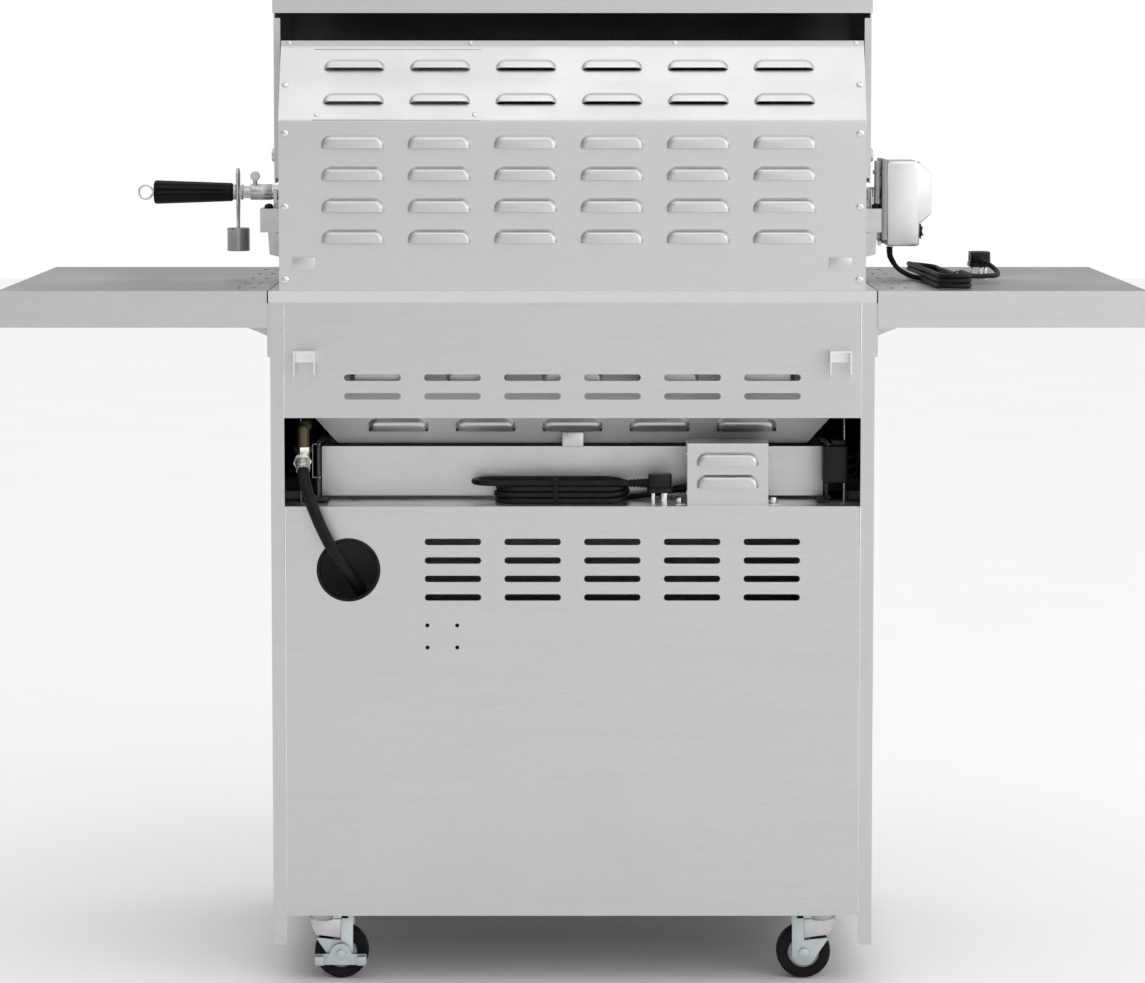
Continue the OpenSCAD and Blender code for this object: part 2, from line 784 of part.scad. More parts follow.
// Motor case with its mounting strap; the strap's foot rests on the left spit bracket
module motor_housing() {
    back_x = motor_x - 6;
    case_x = motor_x - 46;
    bulge = [[case_x, 897], [case_x - 16, 909], [case_x - 16, 960], [case_x, 973]];
    color(steel) {
        difference() {
            union() {
                box([back_x, -18, 872], [motor_x, 62, 976]);
                box([case_x, -18, 869.5], [back_x, 62, 976]);
                along_y(-8, 52) polygon(bulge);
            }
            box([case_x + 2, -16, 871.5], [back_x, 60, 974]);
            box([case_x - 14, -6, 912], [case_x + 2, 50, 957]);
            bar_x(spit_y, spit_z, back_x - 1, motor_x + 1, 10.3);
            box([case_x - 1, 12, 880], [case_x + 3, 32, 896]);
        }
        box([-376, 35, 917], [-370, 55, 975]);
        for (z = [962, 925]) bar_x(45, z, motor_x, -376, 4);
    }
}

module motor_switch() {
    x = motor_x - 46;
    color(black) box([x - 4.6, 12.4, 881], [x + 1.6, 31.6, 895]);
}

// Socket that the motor turns; the square end of the rod slides into it
module drive_socket() {
    clear = 0.3;
    color(steel) difference() {
        union() {
            bar_x(spit_y, spit_z, motor_x - 20, motor_x + 3, 10);
            bar_x(spit_y, spit_z, motor_x - 34, motor_x - 20, 17);
        }
        box([motor_x - 8, spit_y - rod_w / 2 - clear, spit_z - rod_w / 2 - clear],
            [motor_x + 6, spit_y + rod_w / 2 + clear, spit_z + rod_w / 2 + clear]);
    }
}

// ---- Electrical and gas supply at the rear ----

// Folded cover with two louvers, and the transformer core inside it
module transformer_box() {
    x0 = -230;
    x1 = -135;
    y0 = 206;
    y1 = 262;
    z1 = 650;
    color(steel) {
        difference() {
            box([x0, y0, window_z0], [x1, y1, z1]);
            box([x0 + sheet, y0 + sheet, window_z0 - 1], [x1 - sheet, y1 - sheet, z1 - sheet]);
            for (z = [598, 624.5]) box([x0 + 14, y1 - 5, z], [x1 - 14, y1 + 5, z + 8]);
            bar_x(220, 592, x1 - 5, x1 + 5, 5);
        }
        for (z = [597, 623.5]) translate([(x0 + x1) / 2, y1 - 0.3, z]) louver(74, 16, 6);
        for (x = [x0 - 14, x1]) box([x, y0 + 8, window_z0], [x + 14, y1 - 8, window_z0 + sheet]);
        for (x = [x0 - 7, x1 + 9]) bar_z(x, 248, window_z0 + sheet, window_z0 + 8, 4);
    }
    color(enamel) box([-222, 212, window_z0], [-150, 250, 620]);
}

// Elbow at the end of the feed pipe, with the nut that holds the hose
module gas_elbow() {
    color([0.80, 0.76, 0.62]) {
        bar_z(318, 244, 616, 637, 9);
        bar_y(318, 626, 244, 255, 11);
        bar_y(318, 626, 255, 258, 7);
    }
}

// Regulator that stands on the cupboard floor, with the inlet nut for a gas bottle
module gas_regulator() {
    color(zinc) {
        bar_z(178, 40, floor_z + sheet, floor_z + sheet + 22, 28);
        bar_z(178, 40, floor_z + sheet + 22, floor_z + sheet + 30, 16);
        bar_y(184, 98, 60, 74, 7.5);
        bar_y(172, 101, -18, 20, 10);
    }
}

module gas_hose() {
    color(rubber) tube(hose_route, hose_d / 2, 10);
}

module mains_cord() {
    color(rubber) {
        tube(mains_route, mains_d / 2, 8);
        tube(mains_tail, mains_d / 2, 8);
    }
}

// Folded bundle of the mains lead on the ledge; the top layer reaches further than the rest
module mains_hank() {
    color(rubber) translate([mains_hank_at.x, mains_hank_at.y, window_z0 + 0.1]) {
        linear_extrude(22) stadium(160, 50);
        translate([14, 0, 22]) linear_extrude(7) stadium(188, 50);
    }
}

module mains_plug() {
    color(black) {
        box([-118, 232, 591], [-88, 262, 612]);
        bar_x(247, 601, -88, -66, 6);
    }
    color(steel) {
        for (y = [238, 256]) box([-111, y - 2, window_z0 + 0.4], [-105, y + 2, 591]);
        box([-97, 243, window_z0 + 0.4], [-93, 251, 591]);
    }
}

module motor_cord() {
    color(rubber) {
        tube(motor_route, motor_d / 2, 8);
        tube(motor_tail, motor_d / 2, 8);
    }
}

module motor_hank() {
    color(rubber) translate([motor_hank_at.x, motor_hank_at.y, top_z + 0.1])
        linear_extrude(19) rotate(93) stadium(292, 42);
}

// Plug that stands on its three pins on the left shelf
module motor_plug() {
    z0 = 845;
    color(black) translate([plug_at.x, plug_at.y, 0]) {
        rounded_plate([26, 42], 4, z0, z0 + 18);
        bar_y(0, z0 + 9, 20, 25, 5);
    }
    color(steel) translate([plug_at.x, plug_at.y, 0]) {
        for (x = [-8, 8]) box([x - 1.8, -12, top_z + 0.1], [x + 1.8, -6, z0]);
        box([-2, 6, top_z + 0.1], [2, 14, z0]);
    }
}

// ---- Casters ----

// Swivelling fork with the axle; the wheel hangs towards the middle of the oven
module caster_fork(side, y) {
    top = floor_z - 2.8;
    leg_in = wheel_w / 2 + 2;
    leg = [[-24, 78], [24, 78], [4 - trail, wheel_r - 12], [-10 - trail, wheel_r - 9], [-14 - trail, wheel_r + 6]];
    color(zinc) on_side(side) translate([swivel_x, y, 0]) difference() {
        union() {
            bar_z(0, 0, 78, top, 24);
            for (y0 = [-leg_in - 2.5, leg_in]) along_y(y0, y0 + 2.5) polygon(leg);
            for (s = [-1, 1]) box([-24, min(s * leg_in, 0), 76], [24, max(s * leg_in, 0), 78]);
            bar_y(-trail, wheel_r, -leg_in - 6, leg_in + 6, axle_r);
        }
        bar_z(0, 0, 70, top + 1, 5.06);
        bar_z(0, 0, 70, 78, 8.5);
    }
}

module fork_rear_left() {
    caster_fork(-1, swivel_ys[0]);
}

module fork_rear_right() {
    caster_fork(1, swivel_ys[0]);
}

module fork_front_left() {
    caster_fork(-1, swivel_ys[1]);
}

module fork_front_right() {
    caster_fork(1, swivel_ys[1]);
}

module caster_wheel(side, y) {
    color(rubber) on_side(side) translate([swivel_x - trail, y, wheel_r]) rotate([90, 0, 0]) rotate_extrude()
        polygon([
            [axle_r + 0.06, -wheel_w / 2], [12, -wheel_w / 2], [19, -wheel_w / 2 + 4], [24, -wheel_w / 2],
            [wheel_r - 2, -wheel_w / 2], [wheel_r, -wheel_w / 2 + 3], [wheel_r, wheel_w / 2 - 3],
            [wheel_r - 2, wheel_w / 2], [24, wheel_w / 2], [19, wheel_w / 2 - 4], [12, wheel_w / 2],
            [axle_r + 0.06, wheel_w / 2]
        ]);
}

module wheel_rear_left() {
    caster_wheel(-1, swivel_ys[0]);
}

module wheel_rear_right() {
    caster_wheel(1, swivel_ys[0]);
}

module wheel_front_left() {
    caster_wheel(-1, swivel_ys[1]);
}

module wheel_front_right() {
    caster_wheel(1, swivel_ys[1]);
}

// Rocking foot pedal on the end of the axle
module brake_pedal(side, y, out) {
    y0 = out > 0 ? wheel_w / 2 + 4.8 : -wheel_w / 2 - 7.8;
    color(zinc) on_side(side) translate([swivel_x - trail, y, wheel_r]) difference() {
        union() {
            bar_y(0, 0, y0, y0 + 3, 14);
            box([-31, y0, -12], [31, y0 + 3, -2]);
            for (x = [-31, 19]) box([x, min(y0, y0 + out * 14), -4], [x + 12, max(y0 + 3, y0 + out * 14), -1.5]);
        }
        bar_y(0, 0, y0 - 1, y0 + 4, axle_r + 0.06);
    }
}

module brake_rear_right() {
    brake_pedal(1, swivel_ys[0], 1);
}

module brake_front_left() {
    brake_pedal(-1, swivel_ys[1], -1);
}

cart_side_left();
cart_side_right();
cart_floor();
inner_frame();
rear_panel();
upper_rear_panel();
tool_hooks();
hose_grommet();
shelf_left();
shelf_right();
shelf_brackets();
door_left();
door_right();
firebox();
hood_back();
access_cover();
rear_burner();
burners();
flame_tamers();
cooking_grates();
gas_manifold();
control_panel();
knob_1();
knob_2();
knob_rear();
knob_3();
knob_4();
grease_tray();
lid_shell();
lid_ends();
lid_handle();
thermometer();
spit_brackets();
spit_rod();
spit_handle();
counterweight();
meat_forks();
motor_housing();
motor_switch();
drive_socket();
transformer_box();
gas_elbow();
gas_regulator();
gas_hose();
mains_cord();
mains_hank();
mains_plug();
motor_cord();
motor_hank();
motor_plug();
fork_rear_left();
fork_rear_right();
fork_front_left();
fork_front_right();
wheel_rear_left();
wheel_rear_right();
wheel_front_left();
wheel_front_right();
brake_rear_right();
brake_front_left();
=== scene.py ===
import math

import bmesh
import bpy
from mathutils import Matrix, Vector


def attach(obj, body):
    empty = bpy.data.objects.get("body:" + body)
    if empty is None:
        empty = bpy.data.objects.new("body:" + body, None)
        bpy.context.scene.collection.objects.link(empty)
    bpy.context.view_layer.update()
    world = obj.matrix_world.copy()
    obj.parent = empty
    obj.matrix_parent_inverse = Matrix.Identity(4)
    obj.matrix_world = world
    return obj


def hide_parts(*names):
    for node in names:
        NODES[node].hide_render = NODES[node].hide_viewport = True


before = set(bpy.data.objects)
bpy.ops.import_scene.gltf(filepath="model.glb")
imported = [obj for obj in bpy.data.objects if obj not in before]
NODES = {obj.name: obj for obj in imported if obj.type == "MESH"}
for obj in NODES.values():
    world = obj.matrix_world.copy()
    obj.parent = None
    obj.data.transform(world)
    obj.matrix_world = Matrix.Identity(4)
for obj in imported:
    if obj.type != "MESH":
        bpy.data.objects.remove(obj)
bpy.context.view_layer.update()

MM = 0.001
CAMERA_LENS, CAMERA_SHIFT, CAMERA_TILT = 116.38, -0.12, 4.565
CAMERA_PLACE = (0.0, 4.585, 1.10)
# Brightness of the studio's side walls (motor's side first), of the grey screen in front and of the ceiling
SIDE_LEVELS, SCREEN_LEVEL, SKY_LEVEL = (1.46, 0.50), 0.38, 1.12
FLOOR_REACH = 14.0
X_AXIS, Y_AXIS, Z_AXIS = Vector((1, 0, 0)), Vector((0, 1, 0)), Vector((0, 0, 1))


def add_object(name, data):
    """Object that holds some data, linked into the scene."""
    made = bpy.data.objects.new(name, data)
    bpy.context.scene.collection.objects.link(made)
    return made


# ---- Camera, light and floor ----

def add_camera():
    """Stands behind the oven, a little below the lid's top, and looks slightly down."""
    data = bpy.data.cameras.new("camera")
    data.lens, data.sensor_width, data.shift_y = CAMERA_LENS, 36.0, CAMERA_SHIFT
    camera = add_object("camera", data)
    camera.location = CAMERA_PLACE
    camera.rotation_euler = (math.radians(90 - CAMERA_TILT), 0, math.pi)
    bpy.context.scene.camera = camera


def add_area(name, place, target, size, power):
    data = bpy.data.lights.new(name, "AREA")
    data.shape = "RECTANGLE"
    data.size, data.size_y = size
    data.energy = power
    light = add_object(name, data)
    light.location = place
    light.rotation_euler = (Vector(target) - Vector(place)).to_track_quat("-Z", "Y").to_euler()


def add_world():
    """White studio: brighter at the motor's side, with a grey screen above the horizon in front."""
    world = bpy.data.worlds.new("studio")
    world.use_nodes = True
    tree = world.node_tree
    heading = tree.nodes.new("ShaderNodeSeparateXYZ")
    tree.links.new(tree.nodes.new("ShaderNodeTexCoord").outputs["Generated"], heading.inputs[0])

    def ramp(source, start, end, low, high):
        node = tree.nodes.new("ShaderNodeMapRange")
        node.interpolation_type = "SMOOTHSTEP"
        for socket, value in zip(("From Min", "From Max", "To Min", "To Max"), (start, end, low, high)):
            node.inputs[socket].default_value = value
        tree.links.new(source, node.inputs["Value"])
        return node.outputs["Result"]

    def math_node(kind, first, second):
        node = tree.nodes.new("ShaderNodeMath")
        node.operation = kind
        tree.links.new(first, node.inputs[0])
        tree.links.new(second, node.inputs[1])
        return node.outputs["Value"]

    def blend(factor, base, value):
        node = tree.nodes.new("ShaderNodeMix")
        tree.links.new(factor, node.inputs[0])
        tree.links.new(base, node.inputs[2])
        node.inputs[3].default_value = value
        return node.outputs[0]

    across, along, up = heading.outputs
    to_front = ramp(along, -0.75, -0.35, 1.0, 0.0)
    above = math_node("MULTIPLY", ramp(up, 0.025, 0.06, 0.0, 1.0), ramp(up, 0.45, 0.75, 1.0, 0.0))
    screen = math_node("MULTIPLY", to_front, above)
    sides = ramp(across, -0.28, 0.28, SIDE_LEVELS[0], SIDE_LEVELS[1])
    level = blend(to_front, sides, 1.0)
    level = blend(screen, level, SCREEN_LEVEL)
    level = blend(ramp(up, 0.45, 0.85, 0.0, 1.0), level, SKY_LEVEL)
    background = tree.nodes["Background"]
    background.inputs["Color"].default_value = (1, 1, 1, 1)
    tree.links.new(level, background.inputs["Strength"])
    bpy.context.scene.world = world


def add_floor():
    bm = bmesh.new()
    bmesh.ops.create_grid(bm, x_segments=1, y_segments=1, size=FLOOR_REACH)
    mesh = bpy.data.meshes.new("floor")
    bm.to_mesh(mesh)
    bm.free()
    floor = add_object("floor", mesh)
    made = Material("studio_floor", (0.93, 0.93, 0.93), 0.85)
    made.vary("Base Color", made.noise((3, 3, 3), 3), (0.925, 0.925, 0.925), (0.935, 0.935, 0.935))
    mesh.materials.append(made.data)


# ---- Materials ----

class Material:
    """A Principled material whose colour, roughness and relief come from noise in object coordinates."""

    def __init__(self, name, colour, roughness, metallic=0.0):
        self.data = bpy.data.materials.new(name)
        self.data.use_nodes = True
        self.tree = self.data.node_tree
        self.shader = self.tree.nodes["Principled BSDF"]
        self.shader.inputs["Base Color"].default_value = (*colour, 1)
        self.shader.inputs["Roughness"].default_value = roughness
        self.shader.inputs["Metallic"].default_value = metallic
        self.data.diffuse_color = (*colour, 1)
        self.coords = self.tree.nodes.new("ShaderNodeTexCoord").outputs["Object"]

    def add(self, kind, **settings):
        node = self.tree.nodes.new(kind)
        for key, value in settings.items():
            setattr(node, key, value)
        return node

    def link(self, source, target):
        self.tree.links.new(source, target)

    def noise(self, scale, detail=4.0, rough=0.6):
        """Noise stretched by a scale along X, Y and Z."""
        mapping = self.add("ShaderNodeMapping")
        mapping.inputs["Scale"].default_value = scale
        self.link(self.coords, mapping.inputs["Vector"])
        noise = self.add("ShaderNodeTexNoise")
        noise.inputs["Scale"].default_value = 1.0
        noise.inputs["Detail"].default_value = detail
        noise.inputs["Roughness"].default_value = rough
        self.link(mapping.outputs["Vector"], noise.inputs["Vector"])
        return noise.outputs["Fac"]

    def ramp(self, factor, start, end):
        node = self.add("ShaderNodeMapRange")
        node.inputs["From Min"].default_value = start
        node.inputs["From Max"].default_value = end
        self.link(factor, node.inputs["Value"])
        return node

    def vary(self, socket, factor, low, high, start=0.35, end=0.65):
        """Feeds a socket from low to high as the factor goes from start to end."""
        ramp = self.ramp(factor, start, end)
        target = self.shader.inputs[socket]
        if isinstance(low, tuple):
            mix = self.add("ShaderNodeMix", data_type="RGBA")
            mix.inputs[6].default_value = (*low, 1)
            mix.inputs[7].default_value = (*high, 1)
            self.link(ramp.outputs["Result"], mix.inputs[0])
            self.link(mix.outputs[2], target)
            return mix.outputs[2]
        ramp.inputs["To Min"].default_value = low
        ramp.inputs["To Max"].default_value = high
        self.link(ramp.outputs["Result"], target)
        return ramp.outputs["Result"]

    def blend_colour(self, base, factor, tint, start=0.5, end=0.8):
        """Lays a second tint over a colour where the factor is high."""
        mix = self.add("ShaderNodeMix", data_type="RGBA")
        self.link(self.ramp(factor, start, end).outputs["Result"], mix.inputs[0])
        self.link(base, mix.inputs[6])
        mix.inputs[7].default_value = (*tint, 1)
        self.link(mix.outputs[2], self.shader.inputs["Base Color"])
        return mix.outputs[2]

    def relief(self, factor, strength, distance):
        bump = self.add("ShaderNodeBump")
        bump.inputs["Strength"].default_value = strength
        bump.inputs["Distance"].default_value = distance
        self.link(factor, bump.inputs["Height"])
        self.link(bump.outputs["Normal"], self.shader.inputs["Normal"])


def brushed_steel(name, tone, grain, roughness=0.36, contrast=1.0, metallic=1.0):
    """Stainless sheet with fine lines along the grain axis, slow shading and a few smudges."""
    made = Material(name, (tone, tone, tone * 0.992), roughness, metallic)
    fine = [45.0 if axis == grain else 900.0 for axis in "XYZ"]
    broad = [5.0 if axis == grain else 80.0 for axis in "XYZ"]
    lines = made.noise(fine, 5, 0.7)
    spread = 0.030 * contrast
    low = (tone - spread, tone - spread, tone - spread * 1.1)
    high = (tone + spread, tone + spread, tone + spread * 0.9)
    base = made.vary("Base Color", lines, low, high, 0.3, 0.7)
    bands = made.noise(broad, 3, 0.5)
    shade = tone - 0.022 * contrast
    base = made.blend_colour(base, bands, (shade, shade, shade), 0.5, 0.85)
    made.blend_colour(base, made.noise((3.1, 3.1, 3.1), 3, 0.5), (shade, shade, shade * 0.99), 0.55, 0.9)
    made.vary("Roughness", made.noise((7, 7, 7), 4), roughness - 0.05, roughness + 0.06)
    made.relief(lines, 0.10 * contrast, 0.0002)
    made.shader.inputs["Anisotropic"].default_value = 0.35
    return made.data


def speckled(name, low, high, roughness, metallic=0.0, scale=240, bump=0.15, specular=0.5):
    """Moulded, cast or plated surface: fine speckle in colour and relief."""
    middle = tuple((a + b) / 2 for a, b in zip(low, high))
    made = Material(name, middle, roughness, metallic)
    fine = made.noise((scale, scale, scale), 4)
    made.vary("Base Color", made.noise((scale / 9, scale / 9, scale / 9), 4), low, high)
    made.vary("Roughness", fine, roughness - 0.06, roughness + 0.08)
    made.relief(fine, bump, 0.0003)
    made.shader.inputs["Specular IOR Level"].default_value = specular
    return made.data


def clear_glass(name):
    made = Material(name, (0.95, 0.97, 0.97), 0.04)
    made.shader.inputs["Transmission Weight"].default_value = 0.95
    made.shader.inputs["IOR"].default_value = 1.45
    made.vary("Roughness", made.noise((60, 60, 60), 3), 0.02, 0.07)
    return made.data


def make_materials():
    def grey(tone):
        return tone, tone, tone * 0.99

    def dark(tone):
        return tone, tone, tone * 1.04

    return {
        "steel_x": brushed_steel("steel_grain_x", 0.56, "X"),
        "steel_y": brushed_steel("steel_grain_y", 0.56, "Y"),
        "steel_z": brushed_steel("steel_grain_z", 0.56, "Z"),
        "hood": brushed_steel("hood_steel", 0.585, "X", 0.38, 0.6),
        # Lighter copy of the brushed steel: painted light that brightens the tool hooks and the rear ledge's
        # face
        "lit_pressed": brushed_steel("pressed_steel_painted_light", 0.80, "X", 0.32, 0.5),
        "dull": brushed_steel("aluminised_steel", 0.60, "X", 0.46, 0.8, 0.25),
        "motor": speckled("motor_case_steel", grey(0.73), grey(0.75), 0.36, 1.0, 700, 0.03),
        "satin": speckled("satin_steel", grey(0.54), grey(0.60), 0.32, 1.0, 500, 0.04),
        "bright": speckled("bright_steel", grey(0.66), grey(0.74), 0.22, 1.0, 300, 0.03),
        "inner": speckled("inner_steel", grey(0.30), grey(0.36), 0.45, 1.0, 160, 0.05),
        "zinc": speckled("zinc_plate", (0.49, 0.54, 0.55), (0.55, 0.60, 0.61), 0.40, 0.95, 320, 0.05),
        "weight": speckled("weight_steel", grey(0.36), grey(0.42), 0.34, 1.0, 260, 0.04),
        "tyre": speckled("wheel_rubber", dark(0.005), dark(0.010), 0.60, 0.0, 420, 0.15, 0.12),
        "hub": speckled("wheel_hub_plastic", grey(0.42), grey(0.50), 0.42, 0.2, 350, 0.06),
        "rubber": speckled("black_rubber", dark(0.004), dark(0.008), 0.50, 0.0, 480, 0.12, 0.16),
        "cord": speckled("black_cord", dark(0.004), dark(0.008), 0.42, 0.0, 700, 0.10, 0.20),
        "plastic": speckled("black_plastic", dark(0.005), dark(0.010), 0.38, 0.0, 600, 0.10, 0.20),
        "grip": speckled("black_grip", dark(0.004), dark(0.007), 0.40, 0.0, 300, 0.04, 0.14),
        # Black cast finish of the grates, also used as painted shade on the inner frame
        "enamel": speckled("cast_grate", dark(0.012), dark(0.024), 0.55, 0.0, 220, 0.4, 0.20),
        # Near-black material for painted shade: dark sheets and strips put where the opening's cavities and
        # slits are dark
        "shade_black": speckled("painted_shade_black", dark(0.003), dark(0.007), 0.70, 0.0, 220, 0.2, 0.05),
        # Brass darkened far below its own colour: painted shade for the manifold in the dark behind the
        # control panel
        "brass": speckled("brass", (0.075, 0.063, 0.040), (0.115, 0.095, 0.060), 0.45, 1.0, 260, 0.05),
        "nut": speckled("nickel_nut", (0.66, 0.64, 0.58), (0.74, 0.72, 0.66), 0.30, 1.0, 260, 0.05),
        "ceramic": speckled("burner_ceramic", (0.62, 0.54, 0.44), (0.80, 0.74, 0.65), 0.85, 0.0, 300, 0.4),
        "dial": speckled("thermometer_dial", (0.80, 0.80, 0.78), (0.86, 0.86, 0.84), 0.45, 0.0, 200, 0.02),
        "dial_mark": speckled("dial_marks", (0.03, 0.03, 0.03), (0.05, 0.05, 0.05), 0.5, 0.0, 200, 0.02),
        "glass": clear_glass("dial_glass"),
    }


NODE_LOOKS = {
    "steel_x": ("rear_panel", "upper_rear_panel", "access_cover", "control_panel", "lid_shell", "lid_handle",
                "shelf_left", "shelf_right", "grease_tray"),
    "dull": ("firebox",),
    "steel_y": ("cart_side_left", "cart_side_right", "lid_ends", "shelf_brackets"),
    "steel_z": ("door_left", "door_right"),
    # The tool hooks take the lighter steel, painted light for their bright ears
    "lit_pressed": ("tool_hooks",),
    "inner": ("cart_floor", "burners", "flame_tamers", "rear_burner"),
    "satin": ("spit_brackets", "spit_rod", "meat_forks", "drive_socket", "knob_1", "knob_2", "knob_rear",
              "knob_3", "knob_4", "thermometer", "hood_back", "transformer_box", "motor_housing"),
    "zinc": ("counterweight", "gas_regulator", "fork_rear_left", "fork_rear_right", "fork_front_left",
             "fork_front_right", "brake_rear_right", "brake_front_left"),
    "tyre": ("wheel_rear_left", "wheel_rear_right", "wheel_front_left", "wheel_front_right"),
    "rubber": ("hose_grommet", "gas_hose"),
    "cord": ("mains_cord", "mains_hank", "motor_cord", "motor_hank"),
    "plastic": ("mains_plug", "motor_plug", "motor_switch"),
    "grip": ("spit_handle",),
    # The grates are black cast iron; the inner frame takes the same black as painted shade for the cart's
    # dark inside
    "enamel": ("cooking_grates", "inner_frame"),
    # The gas manifold takes the darkened brass, painted shade
    "brass": ("gas_manifold",),
    "nut": ("gas_elbow",),
}


def paint_nodes():
    for look, names in NODE_LOOKS.items():
        for name in names:
            mesh = NODES[name].data
            mesh.materials.clear()
            mesh.materials.append(LOOKS[look])


# ---- Mesh helpers ----

def place(at=(0, 0, 0), up=None, turn=0):
    """Matrix that moves a shape to a point and turns its +Z to face up."""
    matrix = Matrix.Translation(at)
    if up is not None:
        matrix = matrix @ Vector(up).to_track_quat("Z", "Y").to_matrix().to_4x4()
    return matrix @ Matrix.Rotation(turn, 4, "Z")


def frame_matrix(at, x_dir, y_dir):
    """Matrix of a local frame with the given X and Y directions."""
    x_dir, y_dir = Vector(x_dir).normalized(), Vector(y_dir).normalized()
    z_dir = x_dir.cross(y_dir)
    matrix = Matrix((x_dir, y_dir, z_dir)).transposed().to_4x4()
    matrix.translation = at
    return matrix


# Frames whose local Z points along +X and along -Y
ALONG_X = frame_matrix((0, 0, 0), Y_AXIS, Z_AXIS)
UPRIGHT = frame_matrix((0, 0, 0), X_AXIS, Z_AXIS)


def spun(matrix, angle):
    """A frame turned about its own Z."""
    return matrix @ Matrix.Rotation(angle, 4, "Z")


def angles(steps):
    return [2 * math.pi * k / steps for k in range(steps)]


def skin(bm, rings, caps=True):
    """Joins closed rings of vertices one after another, and closes the ends with caps or with each other."""
    steps = len(rings[0])
    for low, high in zip(rings, rings[1:] if caps else rings[1:] + rings[:1]):
        for k in range(steps):
            bm.faces.new((low[k], low[(k + 1) % steps], high[(k + 1) % steps], high[k]))
    if caps:
        bm.faces.new(rings[0][::-1])
        bm.faces.new(rings[-1])


def turned(bm, profile, matrix, steps, wave=None):
    """Rings of a shape turned about local Z. wave(angle, radius, height) may change the radius."""
    rings = []
    for radius, height in profile:
        radii = [(a, wave(a, radius, height) if wave else radius) for a in angles(steps)]
        rings.append([bm.verts.new(matrix @ Vector((r * math.cos(a), r * math.sin(a), height)))
                      for a, r in radii])
    return rings


def lathe(bm, profile, matrix, steps=48, wave=None):
    """Turns (radius, height) pairs about local Z into a solid."""
    skin(bm, turned(bm, profile, matrix, steps, wave))


def ring_lathe(bm, profile, matrix, steps=64):
    """Turns a closed outline of (radius, height) pairs about local Z into a ring."""
    skin(bm, turned(bm, profile, matrix, steps), caps=False)


def block(bm, low, high, bevel=1, segments=2, matrix=None):
    """Box from corner to corner with rounded edges."""
    low, high = Vector(low), Vector(high)
    made = bmesh.ops.create_cube(bm, size=1.0)["verts"]
    size, middle = high - low, (low + high) / 2
    for vert in made:
        vert.co = Vector((vert.co.x * size.x, vert.co.y * size.y, vert.co.z * size.z)) + middle
    verts = made
    if bevel > 0:
        edges = list({edge for vert in made for edge in vert.link_edges})
        result = bmesh.ops.bevel(bm, geom=edges + made, offset=bevel, segments=segments, profile=0.5,
                                 affect="EDGES")
        verts = list({vert for face in result["faces"] for vert in face.verts})
    if matrix is not None:
        bmesh.ops.transform(bm, matrix=matrix, verts=verts)
    return verts


def prism(bm, outline, low, high, matrix, bevel=0, segments=2):
    """Outline of (x, y) pairs pulled from low to high along local Z, with rounded edges."""
    bottom = [bm.verts.new((x, y, low)) for x, y in outline]
    top = [bm.verts.new((x, y, high)) for x, y in outline]
    count = len(outline)
    faces = [bm.faces.new(bottom[::-1]), bm.faces.new(top)]
    for k in range(count):
        faces.append(bm.faces.new((bottom[k], bottom[(k + 1) % count], top[(k + 1) % count], top[k])))
    verts = bottom + top
    if bevel > 0:
        rims = [edge for face in faces[:2] for edge in face.edges]
        result = bmesh.ops.bevel(bm, geom=rims, offset=bevel, segments=segments, profile=0.5, affect="EDGES")
        verts = list({vert for face in result["faces"] for vert in face.verts}
                     | {vert for vert in verts if vert.is_valid})
    bmesh.ops.transform(bm, matrix=matrix, verts=verts)


def round_outline(width, height, radius, steps=6):
    """Rectangle about the origin with round corners."""
    points = []
    for cx, cy, start in ((1, 1, 0), (-1, 1, 90), (-1, -1, 180), (1, -1, 270)):
        for k in range(steps + 1):
            angle = math.radians(start + 90 * k / steps)
            points.append((cx * (width / 2 - radius) + radius * math.cos(angle),
                           cy * (height / 2 - radius) + radius * math.sin(angle)))
    return points


def polygon_ring(count, radius, turn=0):
    return [(radius * math.cos(a + turn), radius * math.sin(a + turn)) for a in angles(count)]


def hull_outline(circles, steps=48):
    """Outline of a band stretched round some circles of (x, y, radius)."""
    points = sorted({(x + r * math.cos(a), y + r * math.sin(a))
                     for x, y, r in circles for a in angles(steps)})

    def half(ordered):
        chain = []
        for p in ordered:
            while len(chain) > 1 and ((chain[-1][0] - chain[-2][0]) * (p[1] - chain[-2][1])
                                      - (chain[-1][1] - chain[-2][1]) * (p[0] - chain[-2][0])) <= 1e-6:
                chain.pop()
            chain.append(p)
        return chain[:-1]

    return half(points) + half(points[::-1])


def new_mesh(name, bm):
    """Mesh in metres from closed shapes in millimetres."""
    bmesh.ops.recalc_face_normals(bm, faces=bm.faces)
    bmesh.ops.scale(bm, vec=(MM, MM, MM), verts=bm.verts)
    mesh = bpy.data.meshes.new(name)
    bm.to_mesh(mesh)
    bm.free()
    return mesh


def finish_piece(name, bm, look, body="root", stands_for=(), smooth=40.0):
    """Turns a bmesh into a piece that rides on a body, with its material."""
    mesh = new_mesh(name, bm)
    mesh.materials.append(LOOKS[look])
    piece = add_object(name, mesh)
    for face in mesh.polygons:
        face.use_smooth = True
    mesh.set_sharp_from_angle(angle=math.radians(smooth))
    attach(piece, body)
    if stands_for:
        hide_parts(*stands_for)
    return piece


